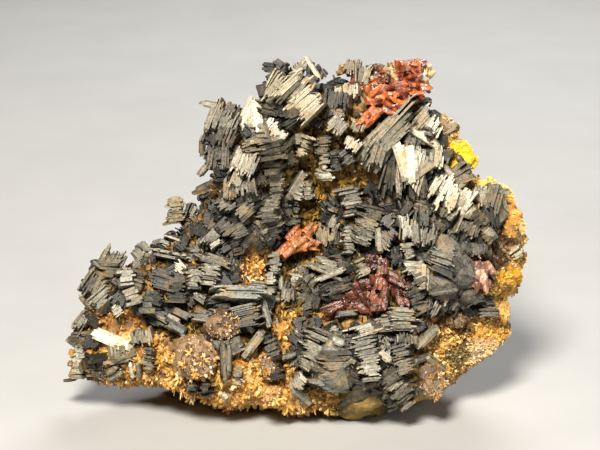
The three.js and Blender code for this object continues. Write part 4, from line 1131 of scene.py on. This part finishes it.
def make_rock():
    """The rock's solid with finer lumps, clods and grit, still flat below."""
    """The rock's solid with lumps, pits and grain pushed into its surface."""
    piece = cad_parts["matrix"].copy()
    piece.data = piece.data.copy()
    piece.name = piece.data.name = "ochre_matrix"
    for key in list(piece.keys()):
        del piece[key]
    bpy.context.scene.collection.objects.link(piece)
    pick(piece)
    bpy.ops.object.mode_set(mode="EDIT")
    bpy.ops.mesh.select_all(action="SELECT")
    bpy.ops.mesh.remove_doubles(threshold=1e-6)
    bpy.ops.object.mode_set(mode="OBJECT")
    fine = piece.modifiers.new("fine", "REMESH")
    fine.mode, fine.voxel_size = "VOXEL", ROCK_VOXEL * MM
    rough(piece, "lumps", "CLOUDS", 7, 2.6, noise_depth=2)
    rough(piece, "clods", "VORONOI", 3.4, 1.4, distance_metric="DISTANCE")
    rough(piece, "grit", "CLOUDS", 1.1, 0.9, noise_depth=3)
    apply_modifiers(piece)
    points = np.empty((len(piece.data.vertices), 3))
    piece.data.vertices.foreach_get("co", points.ravel())
    points[:, 2] = np.maximum(points[:, 2], 0)
    piece.data.vertices.foreach_set("co", points.ravel())
    return piece


# ---------------------------------------------------------------- red crystals
RED_WAVES = [(1.6, 0.5), (0.5, 0.3)]
RED_VOXEL, SIDE_VOXEL = 0.22, 0.26
RED_RISE = 0.8
# Each row: from across, up, to across, up, width, stand, tone, how many small ones grow round it,
# and the width at the far end as a share of the first.
RED_GROUPS = {
    "red_crystals_top": [
        (18.5, 34, 30.4, 37, 6.6, 3, 0.52, 16, 0.9), (23, 35.6, 30.4, 35.4, 5.2, 3.4, 0.6, 12, 0.9),
        (23.6, 40.6, 29.4, 41.4, 6.6, 2.6, 0.55, 16, 1), (20.6, 38.4, 26, 40, 5.8, 2.2, 0.45, 12, 1),
        (26.5, 42.4, 29.6, 42.6, 3.4, 1.8, 0.4, 6, 1), (16.6, 35.4, 21, 35, 4.6, 4, 0.66, 8, 1),
        (19.8, 33, 15.4, 28.6, 3, 4.5, 0.8, 3, 0.5), (17, 38, 19, 35.6, 2.8, 3.5, 0.7, 4, 1),
        (21, 33.6, 25, 31.6, 4.8, 3.6, 0.6, 10, 1), (12, 39.6, 16.5, 38, 3, 1.8, 0.4, 8, 1),
        (15.5, 41, 20.5, 41, 3.8, 1.4, 0.35, 8, 1), (17, 38.4, 22, 37.6, 4.2, 1.6, 0.35, 8, 1),
    ],
    "orange_crystals_middle": [
        (-4.8, -3.9, 4.2, 4.1, 2.6, 5.5, 0.66, 2, 0.85), (-0.8, -0.6, 4.8, -1.3, 2.2, 4.8, 0.6, 2, 0.6),
        (-3, -0.4, 0.6, 3.4, 2.4, 4.8, 0.5, 3, 0.8), (-2.2, -2.2, 2.6, -1.2, 2.4, 4.6, 0.6, 2, 0.8),
        (-0.4, 0.8, 2.8, 0.4, 2.2, 4.8, 0.42, 2, 0.8),
    ],
    "dark_red_crystals_right": [
        (19.2, -16.8, 20.4, -4, 3.6, 5, 0.6, 5, 0.5), (15, -9.4, 18.6, -15.6, 6, 3.4, 0.5, 9, 0.9),
        (17, -13.6, 6.4, -17, 5, 3.8, 0.55, 6, 0.25), (18.4, -15.4, 10, -15.4, 4, 3.4, 0.62, 5, 0.4),
        (14.6, -12.4, 19, -11.4, 5.4, 3.4, 0.42, 6, 0.8), (20.6, -8, 25.8, -11, 2.4, 4, 0.5, 3, 0.6),
        (21, -12, 25, -11.6, 3.6, 3.6, 0.55, 2, 0.7), (24, -12.4, 25.6, -16.8, 2.4, 3.4, 0.5, 1, 0.7),
        (16.2, -5.6, 18.8, -5.2, 3.6, 3, 0.3, 3, 1),
    ],
}
SIDE_GROUPS = {
    "amber_crystals_top": [
        (30.4, 40.2, 32.4, 41.8, 3, 1.6, 0.7, 6, 1), (30.8, 39.2, 31.4, 36.6, 1.6, 1.2, 0.6, 4, 1),
        (20.4, 41, 24.6, 38.6, 2.8, 3.6, 0.42, 8, 1), (14.8, 40.6, 19, 38.8, 2.4, 2.8, 0.42, 6, 1),
        (21, 42.6, 25.4, 43, 2, 1.4, 0.6, 6, 1), (9, 41.8, 12.6, 42.6, 2.2, 1, 0.5, 6, 1),
    ],
    "pink_crystals_right": [
        (42.8, -4.4, 42.4, -11, 4.6, 3.4, 0.48, 6, 0.9), (41, -9.4, 46.4, -10.4, 2.6, 3.4, 0.42, 3, 0.6),
        (44.6, -4.8, 46.6, -8.8, 2.4, 2.6, 0.4, 4, 0.7),
    ],
}


def red_ends(from_across, from_up, to_across, to_up, stand):
    """Where a row of red crystals starts and ends, the end a little further out."""
    start = Vector((from_across, from_up, ROCK.out(from_across, from_up) + stand))
    end = Vector((to_across, to_up, ROCK.out(to_across, to_up) + stand + RED_RISE))
    return start, end


def lay_red_group(heap, row, seed):
    """Long crystals side by side along a line."""
    *line, width, stand, tone, _, taper = row
    start, end = red_ends(*line, stand)
    along, length = (end - start).normalized(), (end - start).length
    axes = turned(along, 1, swing(seed, 1, 0.5))
    strands = max(2, round(width / 1.5))
    for strand in range(strands):
        aside = (strand + 0.5) / strands - 0.5
        parts = max(1, round(length / 5))
        for part in range(parts):
            mark = seed + strand * STRAND_SEED + part * PART_SEED
            share = (part + drawn(mark, 2, 0.0, 0.3)) / parts
            local = width * between(1.0, taper, share)
            bend = Vector((chance(mark, 3) - 0.5, chance(mark, 4) - 0.5, chance(mark, 5) - 0.5)) * 0.3
            shape = turned((along + bend).normalized(), 1, swing(mark, 6, 1.6))
            thick = local / strands * drawn(mark, 7, 1.3, 1.9)
            high = length / parts * drawn(mark, 8, 0.95, 1.25)
            origin = start + along * (length * share - 0.1 * high) + axes[0] * (aside * local)
            origin += axes[1] * (drawn(mark, 10, -0.5, 0.1) * thick - abs(aside) * 0.6)
            kind = one_of(PRISMS, mark, 9)
            heap.add(kind, shape, origin, (thick, thick * drawn(mark, 12, 0.7, 1.0), high),
                     tone + swing(mark, 11, 0.35))


def lay_red_buds(heap, row, seed):
    """Small crystals that grow at all angles round the long ones."""
    *line, width, stand, tone, count, taper = row
    start, end = red_ends(*line, stand)
    along = (end - start).normalized()
    axes = turned(along, 1, 0)
    for number in range(count):
        mark = seed + number * BUD_SEED
        share = chance(mark, 11)
        local = width * between(1.0, taper, share)
        around = Vector((chance(mark, 12) - 0.5, chance(mark, 13) - 0.5, chance(mark, 14) * 0.9)).normalized()
        grow = (around * 0.7 + along * ((chance(mark, 16) - 0.4) * 1.6)).normalized()
        place = between(start, end, share) + around * (local * 0.1)
        place += axes[0] * ((chance(mark, 15) - 0.5) * local * 0.7) + axes[1] * (local * 0.1)
        thick = drawn(mark, 17, 0.6, 1.2) * (0.4 + local * 0.16)
        size = (thick, thick * drawn(mark, 22, 0.5, 0.9), thick * drawn(mark, 18, 1.3, 2.8))
        kinds = PRISMS if chance(mark, 23) < 0.6 else CHIPS
        shade = tone + (chance(mark, 20) - 0.42) * 0.6
        heap.add(kinds[int(chance(mark, 19) * 4)], turned(grow, 1, chance(mark, 21) * 3), place, size, shade)


def red_pieces():
    """The three red and orange groups with their buds, and two small groups beside them."""
    finishes = {
        "red_crystals_top": (
            red_finish("red_crystal", RED_STOPS, (0.42, 0.17, 0.08), (0.9, 0.68, 0.55), 0.7, coat_weight=0.4),
            "red_crystal"),
        "orange_crystals_middle": (
            red_finish("orange_crystal", ORANGE_STOPS, (0.42, 0.2, 0.08), (0.8, 0.55, 0.35), 0.25,
                       coat_weight=0.1), "orange_crystal"),
        "dark_red_crystals_right": (
            red_finish("dark_red_crystal", DARK_RED_STOPS, (0.22, 0.085, 0.045), (0.66, 0.38, 0.25), 0.34),
            "dark_red_crystal"),
    }
    for index, (name, rows) in enumerate(RED_GROUPS.items()):
        finish, slot = finishes[name]
        heap, buds = Heap(), Heap()
        for number, row in enumerate(rows):
            lay_red_group(heap, row, RED_SEED + index * RED_SEEDS + number)
            lay_red_buds(buds, row, RED_SEED + index * RED_SEEDS + number)
        piece = heap.fused(name + "_detail", finish, RED_VOXEL, RED_WAVES)
        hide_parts(name)
        piece = buds.piece(name + "_buds", finish)
    sides = {
        "amber_crystals_top": (
            red_finish("amber_crystal", AMBER_STOPS, (0.5, 0.32, 0.16), (0.9, 0.82, 0.68), 0.7,
                       coat_weight=0.3), "red_crystal"),
        "pink_crystals_right": (
            red_finish("pink_crystal", PINK_STOPS, (0.4, 0.2, 0.12), (0.85, 0.68, 0.58), 0.5,
                       coat_weight=0.1), "dark_crystal"),
    }
    for index, (name, rows) in enumerate(SIDE_GROUPS.items()):
        finish, slot = sides[name]
        heap = Heap()
        for number, row in enumerate(rows):
            lay_red_group(heap, row, SIDE_SEED + index * SIDE_SEEDS + number)
            lay_red_buds(heap, row, SIDE_SEED + index * SIDE_SEEDS + number)
        piece = heap.fused(name, finish, SIDE_VOXEL, RED_WAVES)


# ---------------------------------------------------------------- knobs and rim of the rock
# Lumps past the edge of the solid: across, up, size, stand.
RIM_LUMPS = [
    (42.6, 14.6, 3.2, 0), (46.3, 13.8, 3.2, 0), (49.6, 12, 3.8, 0), (51.3, 9.8, 4.2, 0), (52, 6.8, 4.6, 0),
    (52, 3.2, 5, 0.4), (52.2, -0.4, 5, 0.4), (52.5, -4, 4.4, 0), (51.8, -8.6, 4.8, 1), (50.8, -12, 4, 0),
    (49.6, -15.4, 4, 0), (48.2, -19.5, 4, 0), (39.8, 20.8, 4.8, 0.4), (41, 19.2, 4.4, 0.2),
    (39, 18.6, 4.4, 0), (34.8, 28, 3.8, 0), (35.9, 26.2, 3.6, 0), (33, 28.8, 2.2, 0),
    (-55.9, -27.6, 1.8, 0), (-56.2, -30.4, 1.8, 0), (-56.2, -33, 1.8, 0), (-51.5, -17.4, 2.6, 0.6),
    (-43, -14.6, 2.6, 2.4), (-42, -16.6, 2.4, 1.6),
]


def rim_pieces(rock_material):
    """Knobs of rock run together along the rim and at the left tip."""
    heap = Heap()
    for number, (across, up, size, stand) in enumerate(RIM_LUMPS):
        out = ROCK.out(across, up) + stand - 1.5
        for part in range(3):
            mark = RIM_SEED + number + part * END_SEED
            shift = [(chance(mark, turn) - 0.5) * size * 0.5 for turn in (1, 2, 3)]
            upright = Vector((chance(mark, 4) - 0.5, chance(mark, 5) - 0.5, 0.6)).normalized()
            axes = turned(upright, 1, chance(mark, 6) * 6)
            wide = size * drawn(mark, 7, 0.7, 1.1)
            place = Vector((across + shift[0], up + shift[1], out + shift[2])) - axes[2] * (wide / 2)
            heap.add(one_of(CHIPS, mark, 8), axes, place, (wide, wide, wide), 0.5)
    piece = heap.fused("golden_rim", rock_material, 0.34, [(1.6, 1.3), (0.5, 0.6)])
    return piece


# ---------------------------------------------------------------- small crystals on the rock
# Each patch: across, up, half width, half height.
RIM_PATCHES = [
    (41, 21, 5, 5.5), (36, 24, 4, 5), (49, 13, 6.5, 3), (54.5, 4, 3, 9), (55, -8, 4, 6.5), (50, -18, 7, 9),
    (47, -26, 7, 6), (41, -31, 9, 5), (35, -25, 5, 6),
]
FOOT_PATCHES = [
    (-52, -31, 8, 6), (-40, -31, 12, 7), (-28, -34, 9, 7), (-14, -38, 13, 6), (0, -40, 10, 6),
    (-44, -20, 9, 6), (-31, -14, 4, 5), (-12, -32, 8, 6), (-3, -25, 3, 8), (20, -25, 4, 5), (23, -31, 4, 4),
    (3, -43, 5, 4), (-10, -3, 4, 4), (-13, -9, 4, 4),
]
OLIVE_PATCHES = [
    (17, -41, 8, 6), (34, -36, 9, 5),
]
DOME_PATCHES = [
    (-21.8, -30, 6, 4.6), (-14.4, -20.6, 3.6, 3), (-6, -31.4, 3, 3), (-6, -36.6, 3, 2), (33, -34.6, 3, 4),
]
HOLLOW_PATCHES = [
    (2, 12, 9, 12), (8, 4, 9, 10), (3, -6, 9, 8), (0, -15, 8, 5), (15, -2, 4, 4), (-3, 20, 5, 7),
    (12, 14, 4, 4),
]
DARK_PATCHES = [
    (-2, 35, 14, 8), (-15, 27, 9, 7), (-16, 18, 9, 9), (-25, 8, 8, 7), (-18, 4, 8, 8), (26, 24, 9, 10),
    (28, 14, 11, 7), (33, 2, 12, 11), (35, -11, 9, 7), (-46, -8, 9, 8), (-34, -8, 12, 10), (-22, -8, 7, 8),
    (-53, -24, 4, 7), (-16, -15, 9, 6), (-18, -22, 5, 4), (5, -27, 7, 8), (18, -27, 7, 8), (24, -20, 5, 5),
    (24, -36, 3.5, 4), (-7, 6, 5, 9), (12, 2, 7, 9), (4, -12, 8, 5), (14, 40, 6, 3),
]


def inside(places, patches, ragged=None):
    """Which places lie in one of the patches, whose edges wander by the ragged share."""
    result = np.zeros(len(places), dtype=bool)
    for across, up, half_width, half_height in patches:
        spread = ((places[:, 0] - across) / half_width) ** 2 + ((places[:, 1] - up) / half_height) ** 2
        result |= spread < (1 if ragged is None else 1 + ragged)
    return result


class Surface:
    """The rock's faces as places to grow small crystals on."""

    def __init__(self, piece):
        mesh = piece.data
        count = len(mesh.polygons)
        centres, normals, areas = np.empty((count, 3)), np.empty((count, 3)), np.empty(count)
        mesh.polygons.foreach_get("center", centres.ravel())
        mesh.polygons.foreach_get("normal", normals.ravel())
        mesh.polygons.foreach_get("area", areas)
        self.centres, self.normals = to_display(centres), normals @ TO_PART.T
        self.areas, self.above = areas, centres[:, 2] > GROWING_FLOOR * MM

    def scatter(self, seed, count, where):
        """Seeded places and normals on the faces that are chosen, more where the faces are larger."""
        draw = np.random.default_rng(seed)
        weight = self.areas * where * self.above
        chosen = draw.choice(len(weight), size=count, p=weight / weight.sum())
        return self.centres[chosen], self.normals[chosen], draw


def grow_singles(heap, kinds, scatter, length, width, flat, tilt, tone):
    """Single crystals that stand near to upright on the rock."""
    places, normals, draw = scatter
    for place, normal in zip(places, normals):
        a, b, c, d, e, f = draw.random(6)
        direction = (Vector(normal) + Vector(draw.normal(size=3)) * tilt).normalized()
        size = (between(*width, a), between(*width, a) * between(*flat, b), between(*length, c))
        origin = Vector(place) - direction * (0.2 * size[2])
        heap.add(kinds[int(d * len(kinds))], turned(direction, 1, e * 6), origin, size, between(*tone, f),
                 draw.uniform(-0.4, 0.8))


def grow_sprays(heap, kinds, scatter, blades, length, width, tone):
    """Sprays of blades that fan out from one root."""
    places, normals, draw = scatter
    for place, normal in zip(places, normals):
        reach = between(*length, draw.random())
        shade = between(*tone, draw.random())
        fan = Vector(draw.normal(size=3)).normalized()
        tint = draw.uniform(-0.5, 1.1)
        for number in range(int(between(*blades, draw.random()))):
            a, b, c, d = draw.random(4)
            direction = Vector(normal) * 0.75 + Vector(draw.normal(size=3)) * 0.55
            direction = (direction - fan * (direction.dot(fan) * 0.5)).normalized()
            wide = between(*width, a)
            size = (wide, wide * between(0.2, 0.4, b), reach * between(0.6, 1.1, c))
            axes = turned(direction, 1, d * 6)
            heap.add(kinds[number % len(kinds)], axes, Vector(place) - direction * 0.3, size,
                     shade + (a - 0.5) * 0.35, tint)


def lay_small_stacks(heap):
    """Small dark stacks low on the rock, in what room the large ones leave."""
    taken = []
    for rows in STACKS.values():
        for row in rows:
            marks = max(3, round(math.hypot(row[3] - row[0], row[4] - row[1]) / 1.5))
            for share in np.linspace(0, 1, marks):
                taken.append((between(row[0], row[3], share), between(row[1], row[4], share),
                              between(row[2], row[5], share) * 0.42))
    blades = [row for rows in EDGE_BLADES.values() for row in rows if row[4] > 2.5]
    reds = [row for rows in (*RED_GROUPS.values(), SIDE_GROUPS["pink_crystals_right"]) for row in rows]
    for row in blades + reds:
        taken.extend((between(row[0], row[2], share), between(row[1], row[3], share), row[4] * 0.6)
                     for share in np.linspace(0, 1, 6))
    for row in [row for rows in (DOMES, *SCALE_ROWS.values()) for row in rows]:
        taken.append((row[0], row[1], (row[2] + row[3]) * 0.2))
    draw = np.random.default_rng(11)
    laid = 0
    # Low tones, lowest for the sunken second kind: partly the stacks' own dark colour, partly painted shade
    # in the gaps between the large stacks.
    for spread, wide, high, tones in ((0.36, (2.4, 4.6), (0.3, 1.5), (0.16, 0.56)),
                                      (0.08, (2.2, 4.0), (-0.6, 0.5), (0.05, 0.34))):
        tries = np.column_stack((draw.uniform(-60, 58, 9000), draw.uniform(-45, 46, 9000)))
        for across, up in tries[inside(tries, DARK_PATCHES)]:
            width = draw.uniform(*wide)
            if any(math.hypot(across - x, up - y) < r + width * spread for x, y, r in taken):
                continue
            if not WHOLE.covers(across, up, 1.2):
                continue
            taken.append((across, up, width * 0.3))
            lay_loose_stack(heap, draw, across, up, width, high, tones, SMALL_SEED + laid)
            laid += 1


def lay_loose_stack(heap, draw, across, up, width, high, tones, seed, coarse=1.0):
    """A small stack that points any way."""
    turn, length = draw.uniform(0, 2 * math.pi), draw.uniform(2.0, 4.2)
    reach = (math.cos(turn) * length / 2, math.sin(turn) * length / 2)
    row = (across - reach[0], up - reach[1], width,
           across + reach[0], up + reach[1], width * draw.uniform(0.6, 1),
           draw.uniform(*high), draw.uniform(*tones), draw.uniform(-0.1, 0.5), coarse)
    lay_stack(heap, row, seed)


def lay_under_stacks(heap):
    """Stacks close to the rock behind the large ones, painted near black as shade in the gaps."""
    draw = np.random.default_rng(12)
    tries = np.column_stack((draw.uniform(-60, 58, 6000), draw.uniform(-45, 46, 6000)))
    laid = []
    for across, up in tries[inside(tries, DARK_PATCHES)]:
        if any(math.hypot(across - x, up - y) < 2.9 for x, y in laid) or not WHOLE.covers(across, up, 1.8):
            continue
        laid.append((across, up))
        if draw.random() < 0.8:
            width = draw.uniform(2.6, 4.4)
            seed = UNDER_SEED + len(laid)
            # Near-black tones: painted shade in the gaps behind the large stacks.
            lay_loose_stack(heap, draw, across, up, width, (-0.8, 0.3), (0.0, 0.18), seed, 1.5)


def small_pieces(rock, knobs, dark_finish):
    """Grains, sprays, domes and small stacks, each kind where the patches say."""
    surface = Surface(rock)
    centres, facing = surface.centres, surface.normals[:, 2]
    ragged = np.sin(centres[:, 0] * 1.3 + 2) * np.sin(centres[:, 1] * 1.7) * 0.35
    front = facing > -0.25
    rim = inside(centres, RIM_PATCHES, ragged) & front
    foot = inside(centres, FOOT_PATCHES, ragged) & front
    hollow = inside(centres, HOLLOW_PATCHES, ragged) & front & (facing > 0.1)
    olive = inside(centres, OLIVE_PATCHES, ragged) & front
    rest = ~(rim | foot | hollow | olive)
    patchy = np.sin(centres[:, 0] * 0.23 + 1) * np.sin(centres[:, 1] * 0.29 + 2) + ragged > 0.25

    heap = Heap()
    grow_singles(heap, GRAINS, surface.scatter(21, 3600, rim),
                 (0.4, 1.4), (0.35, 0.9), (0.5, 1), 0.6, (0.05, 0.95))
    knob_skin = Surface(knobs)
    grow_singles(heap, GRAINS, knob_skin.scatter(29, 1300, knob_skin.areas > 0),
                 (0.3, 1.0), (0.3, 0.8), (0.5, 1), 0.6, (0.3, 0.95))
    piece = heap.piece("rim_granules", druse_finish("rim_druse", RIM_STOPS))

    heap = Heap()
    for number, row in enumerate(DOMES):
        lay_dome(heap, row, DOME_SEED + number)
    dome_finish = druse_finish("dome_skin", DOME_STOPS)
    domes = heap.piece("ridged_domes", dome_finish)
    skin = Surface(domes)

    ochre = druse_finish("ochre_druse", OCHRE_STOPS)
    heap = Heap()
    grow_sprays(heap, BLADES, surface.scatter(22, 540, foot & (facing > 0)),
                (6, 13), (1.2, 3.0), (0.5, 1.3), (0.3, 0.9))
    grow_sprays(heap, BLADES, skin.scatter(32, 240, inside(skin.centres, DOME_PATCHES)),
                (5, 10), (1.0, 2.6), (0.4, 1.0), (0.3, 0.9))
    piece = heap.piece("foot_sprays", ochre)
    heap = Heap()
    grow_singles(heap, GRAINS, surface.scatter(28, 1500, foot),
                 (0.5, 1.5), (0.4, 1.2), (0.5, 1), 0.6, (0.2, 0.9))
    piece = heap.piece("foot_granules", ochre)

    heap = Heap()
    grow_sprays(heap, BLADES, surface.scatter(23, 170, hollow),
                (4, 9), (2.0, 4.2), (1.1, 2.4), (0.1, 0.75))
    grow_singles(heap, GRAINS, surface.scatter(24, 900, hollow),
                 (0.8, 2), (0.5, 1.3), (0.5, 1), 0.6, (0.1, 0.8))
    piece = heap.piece("hollow_blades", druse_finish("hollow_crust", HOLLOW_STOPS))
    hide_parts("hollow_crust")

    heap = Heap()
    grow_singles(heap, BLADES, surface.scatter(25, 5200, rest & front),
                 (0.9, 2.2), (0.7, 1.7), (0.25, 0.6), 0.55, (0.0, 0.52))
    piece = heap.piece("gap_druse", druse_finish("gap_druse", HOLLOW_STOPS))

    heap = Heap()
    grow_singles(heap, GRAINS, surface.scatter(26, 2600, ~front & patchy),
                 (0.5, 1.8), (0.4, 1.2), (0.6, 1), 0.6, (0.05, 0.8))
    piece = heap.piece("back_druse", druse_finish("back_druse", OCHRE_STOPS))

    heap = Heap()
    # Grains on the domes' front faces, their palest tones partly painted glints.
    grow_singles(heap, GRAINS, skin.scatter(31, 5200, skin.normals[:, 2] > 0.1),
                 (0.3, 0.8), (0.3, 0.9), (0.3, 0.7), 0.6, (0.1, 0.95))
    piece = heap.piece("dome_grains_and_glints", dome_finish)

    for name, lay in (("small_plates", lay_small_stacks), ("under_plates", lay_under_stacks)):
        heap = Heap()
        lay(heap)
        piece = heap.piece(name, dark_finish)


# ---------------------------------------------------------------- the floor
def make_floor():
    """A wide pale floor that belongs to the stage."""
    deselect()
    bpy.ops.mesh.primitive_plane_add(size=4, location=(0, 0, 0))
    floor = bpy.context.object
    floor.name = floor.data.name = "floor"
    finish = Finish("pale_floor", roughness=0.75)
    tint = finish.noise(40, 3)
    finish.feed(Base_Color=finish.ramp(tint, [(0.3, (0.4, 0.4, 0.395)), (0.7, (0.43, 0.43, 0.425))]))
    floor.data.materials.append(finish.material)


# ---------------------------------------------------------------- putting it together
add_camera()
add_world()
add_light("key", (-0.12, -0.5, 0.62), 0.24, 13.6, (1.0, 0.94, 0.84))
add_light("fill", (0.55, -0.35, 0.3), 0.45, 1.2, (1.0, 0.96, 0.9))
add_light("back", (0.1, 0.5, 0.5), 0.4, 3.5)
make_floor()

rock = make_rock()
rock_material = rock_finish()
rock.data.materials.clear()
rock.data.materials.append(rock_material)
for face in rock.data.polygons:
    face.material_index = 0
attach(rock, "root")
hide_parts("matrix")

dark_finish = dark_crystal_finish()
dark_pieces(dark_finish)
red_pieces()
small_pieces(rock, rim_pieces(rock_material), dark_finish)
